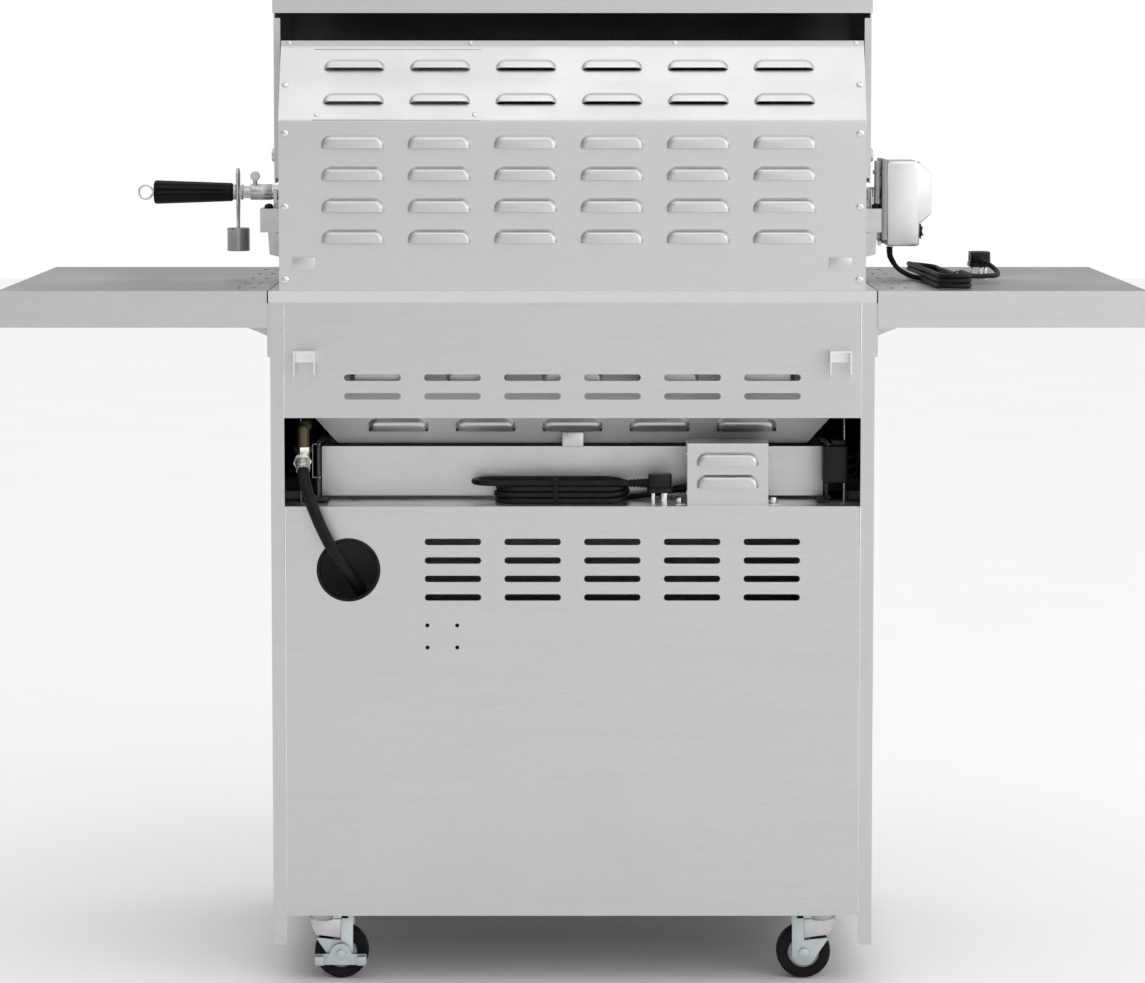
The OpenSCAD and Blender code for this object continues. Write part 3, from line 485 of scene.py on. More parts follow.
def resample(points, step):
    """Points at even steps along a polyline smoothed by Catmull-Rom curves."""
    points = [Vector(p) for p in points]
    ends = [2 * points[0] - points[1]] + points + [2 * points[-1] - points[-2]]
    fine = []
    for a, b, c, d in zip(ends, ends[1:], ends[2:], ends[3:]):
        for k in range(16):
            t = k / 16
            fine.append(0.5 * ((2 * b) + (c - a) * t + (2 * a - 5 * b + 4 * c - d) * t * t
                               + (3 * b - a - 3 * c + d) * t ** 3))
    fine.append(points[-1])
    length = sum((q - p).length for p, q in zip(fine, fine[1:]))
    count = max(2, round(length / step))
    result, travelled, target = [fine[0].copy()], 0, length / count
    for p, q in zip(fine, fine[1:]):
        span = (q - p).length
        while span > 0 and travelled + span >= target * len(result) - 1e-6 and len(result) < count:
            result.append(p.lerp(q, (target * len(result) - travelled) / span))
        travelled += span
    return result + [fine[-1].copy()]


def sweep(bm, points, radius_at, sides=20):
    """Closed tube along points; radius_at takes the share of the way along it."""
    rings, side = [], None
    last = len(points) - 1
    for i, point in enumerate(points):
        along = (points[min(i + 1, last)] - points[max(i - 1, 0)]).normalized()
        if side is None:
            side = along.cross(X_AXIS if abs(along.x) < 0.8 else Z_AXIS).normalized()
        side = (side - along * side.dot(along)).normalized()
        other = along.cross(side)
        radius = radius_at(i / last)
        rings.append([bm.verts.new(point + radius * (math.cos(a) * side + math.sin(a) * other))
                      for a in angles(sides)])
    skin(bm, rings)


def add_sleeve(name, points, thick, thin, ribs, look="rubber"):
    """Strain relief: a tapered sleeve with a groove after each rib."""
    def radius(share):
        phase = (share * ribs) % 1.0
        groove = 0.13 * thick if phase > 0.55 and share < 0.96 else 0.0
        return thick + (thin - thick) * share - groove

    bm = bmesh.new()
    sweep(bm, resample(points, 0.5), radius)
    return finish_piece(name, bm, look)


# ---- Cords and the gas hose ----

MAINS_ROUTE = [(-135, 220, 592), (-125, 220, 591), (-114, 218, 589), (-102, 214, 586), (-90, 210, 583),
               (-78, 206, 581), (-67, 203, 580), (-56, 202, 580)]
MAINS_TAIL = [(-46, 245, 601), (-53, 246, 601), (-60, 247, 601), (-68, 247, 601)]
MOTOR_ROUTE = [(-390, 36, 869.5), (-390, 36, 864), (-391, 37, 857), (-395, 40, 849), (-401, 45, 842),
               (-409, 52, 837), (-417, 62, 834), (-424, 76, 833)]
MOTOR_TAIL = [(-464, 150, 845), (-467, 138, 843), (-475, 128, 840), (-488, 121, 838), (-502, 114, 838),
              (-513, 104, 838), (-517, 91, 840), (-514, 79, 845), (-506, 70, 851), (-501.5, 63, 853.8),
              (-501, 56.4, 854)]
HOSE_ROUTE = [(317, 258, 628), (316, 268, 618), (313, 278, 604), (307, 285, 586), (299, 289, 566),
              (289, 290, 544), (278, 286, 523), (267, 276, 505), (257, 261, 488), (248, 243, 468),
              (240, 227, 442), (234, 216, 410), (230, 210, 370), (228, 208, 320), (227, 206, 265),
              (225, 201, 210), (220, 188, 160), (211, 163, 123), (200, 130, 103), (191, 100, 98),
              (184, 74, 98)]


def fold(centre, turn, radius, runs, rise):
    """Points of a flat hank. A run is (start, near end, far end, height, place where it leaves, or None).

    A run goes out along one straight, round the far fold and back, and then round the near fold,
    where it climbs to the next layer.
    """
    points = []
    cos, sin = math.cos(turn), math.sin(turn)
    half_turn = [math.pi * k / 9 for k in range(9)]
    for start, near, far, height, leave in runs:
        flat = [(start + (far - start) * k / 5, -radius, 0) for k in range(5)]
        flat += [(far + radius * math.sin(a), -radius * math.cos(a), 0) for a in half_turn]
        stop = near if leave is None else leave
        flat += [(far + (stop - far) * k / 5, radius, 0) for k in range(5)]
        if leave is None:
            flat += [(near - radius * math.sin(a), radius * math.cos(a), rise * a / math.pi)
                     for a in half_turn]
        else:
            flat.append((stop, radius, 0))
        for u, v, up in flat:
            points.append((centre[0] + u * cos - v * sin, centre[1] + u * sin + v * cos, height + up))
    return points


def smooth_curve(name, points, diameter, look):
    """One smooth open spline through points in millimetres, with a round section in metres."""
    data = bpy.data.curves.new(name, "CURVE")
    data.dimensions = "3D"
    data.bevel_depth = diameter / 2
    data.bevel_resolution = 4
    data.resolution_u = 5
    data.use_fill_caps = True
    spline = data.splines.new("BEZIER")
    spline.bezier_points.add(len(points) - 1)
    for knot, point in zip(spline.bezier_points, points):
        knot.co = Vector(point) * MM
        knot.handle_left_type = knot.handle_right_type = "AUTO"
    data.materials.append(LOOKS[look])
    piece = add_object(name, data)
    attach(piece, "root")
    return piece


def path_length(points):
    fine = resample(points, 2)
    return round(sum((b - a).length for a, b in zip(fine, fine[1:])) * MM, 2)


def plug_pins(name, blades, low, high):
    """Flat plated pins, each a rectangle (x0, y0, x1, y1)."""
    bm = bmesh.new()
    for x0, y0, x1, y1 in blades:
        block(bm, (x0, y0, low), (x1, y1, high), 0.4)
    return finish_piece(name, bm, "bright")


def add_mains_plug():
    """Three-pin plug that stands on its pins on the ledge, with a raised rim and a grip step."""
    bm = bmesh.new()
    middle = place((-103, 247, 0))
    prism(bm, round_outline(30, 30, 6), 591, 596.5, middle, 0.8)
    prism(bm, round_outline(27.5, 27.5, 6), 596, 612, middle, 2.2, 3)
    prism(bm, round_outline(10, 10, 4), 611.8, 611.9, middle)
    body = finish_piece("mains_plug_body", bm, "plastic", stands_for=("mains_plug",))
    blades = [(-111, 236, -105, 240), (-111, 254, -105, 258), (-97, 243, -93, 251)]
    pins = plug_pins("mains_plug_pins", blades, 576.4, 591.4)
    relief = add_sleeve("mains_plug_relief", [(x, 247, 601) for x in (-90, -82, -74, -66)], 6, 4.4, 6)
    return [body, pins, relief]


def add_motor_plug():
    """Plug that stands on its pins on the shelf."""
    bm = bmesh.new()
    middle = place((-501, 31, 0))
    prism(bm, round_outline(26, 42, 5), 845, 850, middle, 0.8)
    prism(bm, round_outline(24, 39, 6), 849.5, 863, middle, 2.6, 3)
    for k in range(4):
        block(bm, (-513.2, 18 + 5 * k, 852), (-488.8, 20 + 5 * k, 859), 0.5)
    body = finish_piece("motor_plug_body", bm, "plastic", stands_for=("motor_plug",))
    blades = [(-510.8, 19, -507.2, 25), (-494.8, 19, -491.2, 25), (-503, 37, -499, 45)]
    pins = plug_pins("motor_plug_pins", blades, 829.6, 845.4)
    sleeve = [(-501, 47, 854), (-501, 53, 854), (-501, 58, 854), (-502, 63, 853)]
    relief = add_sleeve("motor_plug_relief", sleeve, 5.2, 4, 4)
    return [body, pins, relief]


def tie_band(name, centre, turn, half_width, half_height):
    """Flat tie round the strands of a hank; turn is the direction of the strands."""
    bm = bmesh.new()
    outline = [(half_width * math.copysign(abs(math.cos(a)) ** 0.6, math.cos(a)),
                half_height * math.copysign(abs(math.sin(a)) ** 0.6, math.sin(a)))
               for a in angles(40)]
    along = Vector((math.cos(turn), math.sin(turn), 0))
    across = Vector((-math.sin(turn), math.cos(turn), 0))
    rings = []
    for grow, shift in ((0, -3), (0.8, -2.6), (0.8, 2.6), (0, 3)):
        rings.append([bm.verts.new(Vector(centre) + along * shift + across * (u + math.copysign(grow, u))
                                   + Z_AXIS * (v + math.copysign(grow, v))) for u, v in outline])
    inner = [[bm.verts.new(Vector(centre) + along * shift + across * (u * 0.97) + Z_AXIS * (v * 0.97))
              for u, v in outline] for shift in (3, -3)]
    skin(bm, rings + inner, caps=False)
    return finish_piece(name, bm, "rubber")


def add_mains_lead():
    with_pieces = add_mains_plug()
    runs = [(-55 + shift, -55, 55 + shift, 579.7 + 7 * k, None) for k, shift in enumerate((0, 1.5, -1))]
    runs.append((-55, -55, 83, 600.7, -55))
    points = MAINS_ROUTE + fold((12, 223), 0.0, 21.5, runs, 7) + MAINS_TAIL
    lead = smooth_curve("mains_lead", points, 0.007, "cord")
    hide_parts("mains_cord", "mains_hank")
    with_pieces.append(add_sleeve("mains_lead_relief", MAINS_ROUTE[:3], 5.8, 4.3, 7))
    with_pieces.append(tie_band("mains_lead_tie", (20, 244.5, 590.5), 0.0, 4.2, 14.6))
    path_length(points)


def add_motor_lead():
    with_pieces = add_motor_plug()
    straight = 125
    runs = [(-13, -straight, straight, 832.7, None), (-straight, -straight, straight, 838.7, None),
            (-straight, -straight, straight, 844.7, 66)]
    turns = fold((-445, 88), math.radians(93), 18, runs, 6)
    points = MOTOR_ROUTE[:-1] + turns + MOTOR_TAIL[1:]
    lead = smooth_curve("motor_lead", points, 0.006, "cord")
    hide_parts("motor_cord", "motor_hank")
    with_pieces.append(add_sleeve("motor_lead_relief", MOTOR_ROUTE[:4], 4, 3.4, 8))
    with_pieces.append(tie_band("motor_lead_tie", (-465.5, 118, 836.6), math.radians(93), 4, 6.6))
    path_length(points)


def add_gas_hose():
    hose = smooth_curve("gas_hose_line", HOSE_ROUTE, 0.014, "rubber")
    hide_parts("gas_hose")
    for name, ends in (("gas_hose_collar_top", HOSE_ROUTE[:2]), ("gas_hose_collar_low", HOSE_ROUTE[:-3:-1])):
        a, b = (Vector(end) for end in ends)
        add_sleeve(name, [a, a.lerp(b, 0.33), a.lerp(b, 0.66), b], 8.5, 8.1, 3, "satin")
    path_length(HOSE_ROUTE)


# ---- Pressed sheet ----

# Inset from the outline, lift, and share of the depth
LOUVER_PROFILE = ((0, -0.4, 0), (0.6, 0.2, 0), (1.2, 0.9, 0), (2.6, 0, 0.62),
                  (3.6, 0, 0.80), (4.6, 0, 0.90), (5.8, 0, 0.97), (7.2, 0, 1))


def louver_arch(half, height, corner, steps=12):
    """Left foot, round shoulders and right foot of a louver as (x, y) pairs."""
    points = [(-half, 0)]
    for centre, start in ((-1, 180), (1, 90)):
        for k in range(steps + 1):
            angle = math.radians(start - 90 * k / steps)
            points.append((centre * (half - corner) + corner * math.cos(angle),
                           height - corner + corner * math.sin(angle)))
    return points + [(half, 0)]


def pressed_louver(bm, matrix, width, height, depth, wall=1.1):
    """Hood pressed out of a sheet, open along its lower edge. Local X is across, Y up and Z out."""
    skins = []
    for inner in (0, wall):
        rings = []
        for inset, lift, share in LOUVER_PROFILE:
            off = inset + inner * 0.8
            corner = max(12.5 - off, 2)
            rings.append([bm.verts.new(matrix @ Vector((x, y, lift + share * depth - inner)))
                          for x, y in louver_arch(width / 2 - off, height - off, corner)])
        for low, high in zip(rings, rings[1:]):
            for k in range(len(low) - 1):
                bm.faces.new((low[k], low[k + 1], high[k + 1], high[k]))
        bm.faces.new(rings[-1])
        skins.append(rings)
    outer, hollow = skins
    for k in range(len(outer[0]) - 1):
        bm.faces.new((outer[0][k], outer[0][k + 1], hollow[0][k + 1], hollow[0][k]))
    for end in (0, -1):
        for a, b, c, d in zip(outer, outer[1:], hollow, hollow[1:]):
            bm.faces.new((a[end], b[end], d[end], c[end]))
    bm.faces.new((outer[-1][0], outer[-1][-1], hollow[-1][-1], hollow[-1][0]))


def add_louvers(name, look, places, width, height, depth):
    """One piece of louvers that stand on their frames."""
    bm = bmesh.new()
    for at in places:
        pressed_louver(bm, at, width, height, depth)
    finish_piece(name, bm, look, smooth=35)


def cut(piece, boxes):
    """Cuts boxes of (frame, low corner, high corner) out of a piece, and keeps the result as its mesh."""
    bm = bmesh.new()
    for matrix, low, high in boxes:
        block(bm, low, high, 0, matrix=matrix)
    cutter = add_object("cutter", new_mesh("cutter", bm))
    modifier = piece.modifiers.new("cut", "BOOLEAN")
    modifier.operation = "DIFFERENCE"
    modifier.solver = "EXACT"
    modifier.object = cutter
    graph = bpy.context.evaluated_depsgraph_get()
    result = bpy.data.meshes.new_from_object(piece.evaluated_get(graph))
    piece.modifiers.clear()
    old, piece.data = piece.data, result
    bpy.data.meshes.remove(old)
    bpy.data.objects.remove(cutter)
    piece.data.set_sharp_from_angle(angle=math.radians(35))


def fold_line(points, radius, steps=5):
    """Polyline with round bends."""
    result = [Vector(points[0])]
    for a, b, c in zip(points, points[1:], points[2:]):
        a, b, c = Vector(a), Vector(b), Vector(c)
        start, end = b + (a - b).normalized() * radius, b + (c - b).normalized() * radius
        for k in range(steps + 1):
            t = k / steps
            result.append((1 - t) ** 2 * start + 2 * t * (1 - t) * b + t * t * end)
    return result + [Vector(points[-1])]


def folded_strip(bm, points, thickness, x0, x1, radius=2):
    """Sheet folded along a line of (y, z) points and pulled along X; its back lies thickness to the left."""
    line = fold_line(points, radius)
    back = []
    for i, point in enumerate(line):
        along = (line[min(i + 1, len(line) - 1)] - line[max(i - 1, 0)]).normalized()
        back.append(point + Vector((-along.y, along.x)) * thickness)
    outline = [tuple(p) for p in line] + [tuple(p) for p in reversed(back)]
    prism(bm, outline, 0, x1 - x0, frame_matrix((x0, 0, 0), Y_AXIS, Z_AXIS), 0)


# ---- Hood ----

HOOD_Y, BEND_Z, SLANT_Y, SLANT_Z = 272, 1027, 222, 1115
SLANT = math.atan2(HOOD_Y - SLANT_Y, SLANT_Z - BEND_Z)
SLANT_UP = Vector((0, -math.sin(SLANT), math.cos(SLANT)))
COLUMNS = [(i + 0.5) * 100.6 + 4 for i in range(-3, 3)]
LOUVER_ROWS, SLANT_ROWS = (885.7, 922, 959, 996), (24, 69)  # heights, and distances up the slant
HOOD_LOW, HOOD_SIDE, SHEET = 829.5, 342.4, 1.2


def on_upright(x, z, y=HOOD_Y):
    """Frame on a face that looks to the rear: X across, Y up, Z out."""
    return frame_matrix((x, y, z), -X_AXIS, Z_AXIS)


def on_slant(x, u):
    return frame_matrix(Vector((x, HOOD_Y, BEND_Z)) + SLANT_UP * u, -X_AXIS, SLANT_UP)


def add_hood_back():
    bm = bmesh.new()
    folded_strip(bm, [(HOOD_Y, HOOD_LOW), (HOOD_Y, BEND_Z), (SLANT_Y, SLANT_Z), (SLANT_Y, SLANT_Z + 6)],
                 SHEET, -HOOD_SIDE, HOOD_SIDE, 4)
    panel = finish_piece("hood_back_panel", bm, "hood", stands_for=("hood_back",))
    rows = [on_upright(x, z) for x in COLUMNS for z in LOUVER_ROWS]
    slant_rows = [on_slant(x, u) for x in COLUMNS for u in SLANT_ROWS]
    cut(panel, [(at, (-34, 1, -4), (34, 9, 4)) for at in rows]
        + [(at, (-34, -0.8, -4), (34, 8, 4)) for at in slant_rows])
    add_louvers("hood_back_louvers", "hood", rows, 75, 16, 7)
    add_louvers("hood_slant_louvers", "hood", slant_rows, 72, 13.8, 5.8)
    add_hood_wings()


def add_hood_wings():
    """Side walls of the hood's back with the studs that the lid turns on."""
    outline = [(60, HOOD_LOW), (270.8, HOOD_LOW), (270.8, 1026.3), (220.8, 1114),
               (175, 1060), (130, 1010), (60, 960)]
    bm = bmesh.new()
    for x in (-HOOD_SIDE, HOOD_SIDE - SHEET):
        prism(bm, outline, 0, SHEET, frame_matrix((x, 0, 0), Y_AXIS, Z_AXIS))
    for side in (-1, 1):
        stud = place((side * HOOD_SIDE, 160, 985), (side, 0, 0))
        lathe(bm, [(5, 0), (5, 13.2), (7.8, 13.2), (8, 14), (7.4, 15.8), (5, 16.6), (1.5, 16.6)], stud, 32)
    finish_piece("hood_wings", bm, "steel_y")


def pan_screw(bm, matrix, radius=4.5):
    """Domed screw head with a cross-shaped recess."""
    def cross(angle, r, height):
        return r * (0.20 + 0.32 * abs(math.cos(2 * angle)) ** 3)

    dome = ((1, 0), (0.99, 0.14), (0.93, 0.30), (0.80, 0.42), (0.62, 0.50), (0.55, 0.52))
    recess = ((1, 0.52), (0.92, 0.18))
    scaled = [[(radius * share, radius * height) for share, height in part] for part in (dome, recess)]
    skin(bm, turned(bm, scaled[0], matrix, 32) + turned(bm, scaled[1], matrix, 32, cross))


def add_hood_screws():
    bm = bmesh.new()
    for side in (-1, 1):
        for k, z in enumerate((1013, 927.5, 842.6)):
            pan_screw(bm, spun(on_upright(side * 335, z), 0.4 + k))
        pan_screw(bm, spun(on_slant(side * 336, 49.5), 0.9), 4.2)
        for x, turn in ((333, 0.3), (120, 0.7)):
            pan_screw(bm, spun(on_upright(side * x, 1118, SLANT_Y), turn), 2.8)
    for x in (114, 298):
        pan_screw(bm, on_slant(x, 9.5), 3)
    finish_piece("hood_screws", bm, "bright")


def add_hood_marks():
    """Embossed pads near the hood's lower corners and the folded edges of the access cover."""
    bm = bmesh.new()
    for side in (-1, 1):
        pad = on_upright(side * 313, 861.7)
        prism(bm, round_outline(26.5, 14.2, 0.8), -0.4, 2, pad, 0.3)
    finish_piece("hood_pads", bm, "hood")
    bm = bmesh.new()
    for low, high in ((1.6, 2.8), (96, 96.8)):
        block(bm, (-98, low, -0.4), (98, high, 0.8), 0.3, matrix=on_slant(205, 0))
    finish_piece("access_cover_edges", bm, "hood")


def add_seam_highlights():
    """Bright strips on the folded edges beside the rear panels: a painted highlight along each fold."""
    bm = bmesh.new()
    for side in (-1, 1):
        for low, high in ((92, 575.5), (681, 815.5)):
            block(bm, (side * 337.4 - 0.7, 271.6, low), (side * 337.4 + 0.7, 272.4, high), 0.3)
    finish_piece("rear_seam_highlights", bm, "bright")


# ---- Motor ----

MOTOR_END = -424


def add_motor():
    bm = bmesh.new()
    rear = frame_matrix((0, 62, 0), -X_AXIS, Z_AXIS)
    case = [(420.5, 871.2), (424, 873.5), (424, 971.5), (420.5, 975.2), (386.5, 975.2),
            (384, 972.5), (384, 873.5), (386.2, 871.2)]
    prism(bm, case, -80, 0, rear, 2.8, 3)
    corners = [((423.5, 897.5), (423.5, 974)), ((439.8, 910.5), (439.8, 959))]
    rings = []
    for (x, low), (_, high) in corners:
        inset = 0 if x < 430 else 8
        rings.append([bm.verts.new((-x, y, z)) for y, z in ((-16 + inset, low), (60 - inset, low),
                                                            (60 - inset, high), (-16 + inset, high))])
    faces = [bm.faces.new((rings[0][k], rings[0][(k + 1) % 4], rings[1][(k + 1) % 4], rings[1][k]))
             for k in range(4)]
    cap = bm.faces.new(rings[1])
    edges = {edge for face in faces for edge in face.edges if not edge.is_boundary} | set(cap.edges)
    bmesh.ops.bevel(bm, geom=list(edges), offset=1.6, segments=3, profile=0.5, affect="EDGES")
    finish_piece("motor_case", bm, "motor", stands_for=("motor_housing",))

    bm = bmesh.new()
    plate = [(874.5, -15.5), (879, -18), (977, -18), (977, 62), (879, 62), (874.5, 57.5)]
    prism(bm, [(y, z) for z, y in plate], -384.5, -378.2, ALONG_X, 0.8)
    prism(bm, [(36, 917.2), (55, 917.2), (55, 972.2), (52, 975.2), (39, 975.2),
               (36, 972.2)], -376, -370.5, ALONG_X, 0.6)
    for z in (961.5, 926.2):
        bolt = place((-378.2, 45.5, z), X_AXIS)
        prism(bm, polygon_ring(6, 4.6, 0.4), 0, 3.2, bolt, 0.4)
        lathe(bm, [(2.5, 0), (2.5, 9.5), (2.1, 10)], bolt, 20)
    finish_piece("motor_back_plate", bm, "inner")
    bm = bmesh.new()
    prism(bm, polygon_ring(6, 4.8, 0.2), 0, 4, place((-378.2, 50, 876), X_AXIS), 0.4)
    for y in (0, 44):
        for z in (880, 966):
            pan_screw(bm, place((MOTOR_END, y, z), (-1, 0, 0)), 3)
    finish_piece("motor_fasteners", bm, "bright")


def add_motor_switch():
    """Rocker in a raised frame on the motor's outer end."""
    bm = bmesh.new()
    side = frame_matrix((MOTOR_END, 22, 888), -Y_AXIS, Z_AXIS)
    for low, high in (((-10.6, -8.8), (-9, 8.8)), ((9, -8.8), (10.6, 8.8)),
                      ((-10.6, 7.6), (10.6, 8.8)), ((-10.6, -8.8), (10.6, -7.6))):
        block(bm, (*low, -0.2), (*high, 5.2), 0.3, matrix=side)
    finish_piece("motor_switch_frame", bm, "plastic")
    bm = bmesh.new()
    wave = [(-5.4, 8.4), (-3.6, 7.4), (0, 5.8), (3.6, 6.6), (5.4, 7.6), (5.8, -1.5), (-5.8, -1.5)]
    prism(bm, wave, -8.6, 8.6, frame_matrix((MOTOR_END, 22, 888), Z_AXIS, -X_AXIS), 0.4)
    finish_piece("motor_switch_rocker", bm, "plastic", body="switch", stands_for=("motor_switch",))


# ---- Spit ----

SPIT_Y, SPIT_Z = 22, 936
SPIT = frame_matrix((0, SPIT_Y, SPIT_Z), Y_AXIS, Z_AXIS)


def add_spit_handle():
    def flutes(angle, radius, height):
        turn = (angle * 12 / (2 * math.pi)) % 1.0
        inside = 424 < height < 515 and radius > 8
        return radius - (1.4 * max(0.0, 1 - abs(turn - 0.5) / 0.17) ** 0.6 if inside else 0)

    bm = bmesh.new()
    profile = [(4, 418), (9.5, 418), (10.8, 419), (11.3, 420.5)]
    profile += [(11.4 + 3.1 * k / 16, 424 + 87 * k / 16) for k in range(17)]
    profile += [(14.4, 512.8), (13.8, 514.3), (12.4, 515.1), (5, 515.2)]
    lathe(bm, profile, SPIT, 120, flutes)
    finish_piece("spit_handle_grip", bm, "grip", body="spit", stands_for=("spit_handle",), smooth=50)
    bm = bmesh.new()
    sweep(bm, [Vector((526 + 8.4 * math.cos(a), SPIT_Y, SPIT_Z + 8.4 * math.sin(a)))
               for a in (math.radians(-166 + 332 * k / 40) for k in range(41))], lambda s: 1.25, 14)
    lathe(bm, [(1.4, 512), (1.4, 517.8), (1, 518.2)], SPIT, 16)
    finish_piece("spit_handle_eye", bm, "bright", body="spit")


def add_spit_collars():
    """Turned bushings, clamp screw and washers that sit on the square rod."""
    bm = bmesh.new()
    lathe(bm, [(7, 370), (9.2, 370), (9.7, 370.7), (9.7, 395.8), (9.2, 396.5), (7, 396.5)], SPIT, 56)
    lathe(bm, [(7, 364), (8.6, 364.2), (8.7, 366.2), (7, 366.4)], SPIT, 56)
    for x in (405.2, 414.6):
        lathe(bm, [(7, x), (8.9, x), (9.4, x + 0.6), (9.4, x + 2.6), (8.9, x + 3.2),
                   (7, x + 3.2)], SPIT, 56)
    stem = place((391, SPIT_Y, 944), Z_AXIS)
    lathe(bm, [(2.7, 0), (2.7, 7.5), (2, 9)], stem, 24)
    disc = frame_matrix((391, SPIT_Y, 955.7), -X_AXIS, Z_AXIS)
    lathe(bm, [(5, -2.4), (5.7, -1.8), (5.9, 0), (5.7, 1.8), (5, 2.4)],
          disc, 48, lambda a, r, h: r * (1 + 0.012 * math.cos(24 * a)))
    finish_piece("spit_collars", bm, "satin", body="spit")


def add_counterweight():
    bm = bmesh.new()
    post = place((412, SPIT_Y, 0), Z_AXIS)
    lathe(bm, [(5, 863.6), (12.8, 863.6), (13.8, 864.6), (13.8, 891), (12.8, 892), (5, 892)], post, 72)
    finish_piece("counterweight_body", bm, "weight", body="spit", stands_for=("counterweight",))
    bm = bmesh.new()
    half, top = 7.8, 963.8
    loop = [(-2.2, 891.5), (-2.6, 902), (-5.2, 912), (-half, 924), (-half, 940), (-half, 956)]
    loop += [(-half * math.cos(a), 956 + (top - 956) * math.sin(a)) for a in
             (math.pi * k / 10 for k in range(1, 10))]
    loop += [(-y, z) for y, z in reversed(loop[:6])]
    sweep(bm, resample([Vector((412, SPIT_Y + y, z)) for y, z in loop], 1.5), lambda s: 2, 16)
    finish_piece("counterweight_loop", bm, "satin", body="spit")


def add_bracket_parts():
    """Rubber buffers and the lid's stop rods on the spit's brackets."""
    bm = bmesh.new()
    for x in (371.5, -371.5):
        lathe(bm, [(5, 917.2), (5.6, 918), (5.4, 920.5), (4, 922.2), (1.5, 923.2)],
              place((x, 54.5, 0), Z_AXIS), 32)
    finish_piece("bracket_buffers", bm, "rubber")
    bm = bmesh.new()
    for x in (-366.3, -369):
        lathe(bm, [(1.1, 917.2), (1.1, 940), (0.6, 940.5)], place((x, 50, 0), Z_AXIS), 16)
    finish_piece("bracket_rods", bm, "bright")


# ---- Supply at the rear ----

def add_transformer_box():
    x0, x1, y0, y1, z0, z1 = -230, -135, 206, 262, 576.2, 650
    rows = [on_upright((x0 + x1) / 2, z, y1) for z in (597, 623.5)]
    bm = bmesh.new()
    folded_strip(bm, [(y1, z0), (y1, z1), (y0, z1), (y0, z0)], SHEET, x0, x1, 2.2)
    for x in (x0, x1 - 1.2):
        block(bm, (x, y0 + 0.8, z0), (x + 1.2, y1 - 0.8, z1 - 0.8), 0.3)
    for x in (x0 - 14, x1):
        block(bm, (x, y0 + 8, z0 - 0.1), (x + 14, y1 - 8, z0 + 1.2), 0.4)
    cover = finish_piece("transformer_cover", bm, "steel_x", stands_for=("transformer_box",))
    cut(cover, [(at, (-34, 1, -4), (34, 8, 2)) for at in rows])
    add_louvers("transformer_louvers", "steel_x", rows, 74, 16, 6.2)
    bm = bmesh.new()
    for x in (x0 - 7, x1 + 9):
        knob = place((x, 248, z0 + 1.2), Z_AXIS)
        lathe(bm, [(3.4, 0), (4, 0.6), (4, 5.8), (3.6, 6.6), (2, 6.8)],
              knob, 48, lambda a, r, h: r * (1 + 0.05 * math.cos(16 * a)) if 0.5 < h < 6 else r)
    for x, side, turn in ((x0, -1, 0.2), (x1, 1, 0.9)):
        for z in (590, 636):
            pan_screw(bm, place((x, 250, z), (side, 0, 0), turn), 2.8)
    finish_piece("transformer_screws", bm, "bright")


# ---- Opening in the back ----

def add_funnel_louvers():
    """A row on the funnel's slope, with a black strip of painted shade under each louver, and a row on the
    edge above it.
    """
    up = Vector((0, 65.6, 78)).normalized()
    slope = [frame_matrix(Vector((i * 103.6, 179.6, 642)) + up * 26.2, -X_AXIS, up) for i in range(-2, 3)]
    edge = [on_upright(i * 113, 722.5, 245.2) for i in range(-2, 3)]
    add_louvers("funnel_louvers", "hood", [at for pair in zip(slope, edge) for at in pair], 72, 16.5, 7)
    # Black strips under the slope's louvers: painted shade for the dark slits
    bm = bmesh.new()
    for at in slope:
        block(bm, (-35, -1.4, 0.2), (35, 0.4, 5.2), 0.2, matrix=at)
    finish_piece("funnel_louver_painted_shadows", bm, "shade_black")


def add_window_parts():
    """Tabs, tray channels, black sheets of painted shade, and the ledge's face lightened as painted light,
    round the opening in the back.
    """
    add_funnel_louvers()
    bm = bmesh.new()
    block(bm, (-13, 192.5, 638.5), (12, 194.5, 656), 0.4)
    for side in (-1, 1):
        channel_outline(bm, side)
        block(bm, (side * 322 - 0.5, 200, 576.5), (side * 322 + 0.5, 223, 680), 0.2)
    finish_piece("window_tabs", bm, "satin")
    bm = bmesh.new()
    # Thin lighter sheet on the ledge: painted light for the ledge's lit top
    block(bm, (-350, 195.5, 575.65), (350, 270, 576.25), 0.2)
    finish_piece("rear_ledge_lit_face", bm, "lit_pressed")
    # Black sheets at the opening's sides: painted shade where the cavity behind is dark
    bm = bmesh.new()
    for side in (-1, 1):
        low, high = sorted((side * 303, side * 351.5))
        block(bm, (low, 100, 577), (high, 101.2, 714), 0.3)
        block(bm, (side * 350.8 - 0.5, 101.2, 577), (side * 350.8 + 0.5, 270, 690), 0.3)
        low, high = sorted((side * 306.5, side * 321.5))
        block(bm, (low, 160, 577), (high, 161.2, 670), 0.3)
    finish_piece("window_painted_shade", bm, "shade_black")
    add_igniter()


def channel_outline(bm, side):
    """Cut end of the tray's slide, open towards the tray."""
    for low, high in (((299, 643.6), (308.8, 644.6)), ((299, 604), (308.8, 605)),
                      ((307.8, 604), (308.8, 644.6))):
        x0, x1 = sorted((side * low[0], side * high[0]))
        block(bm, (x0, 215, low[1]), (x1, 218, high[1]), 0.2)


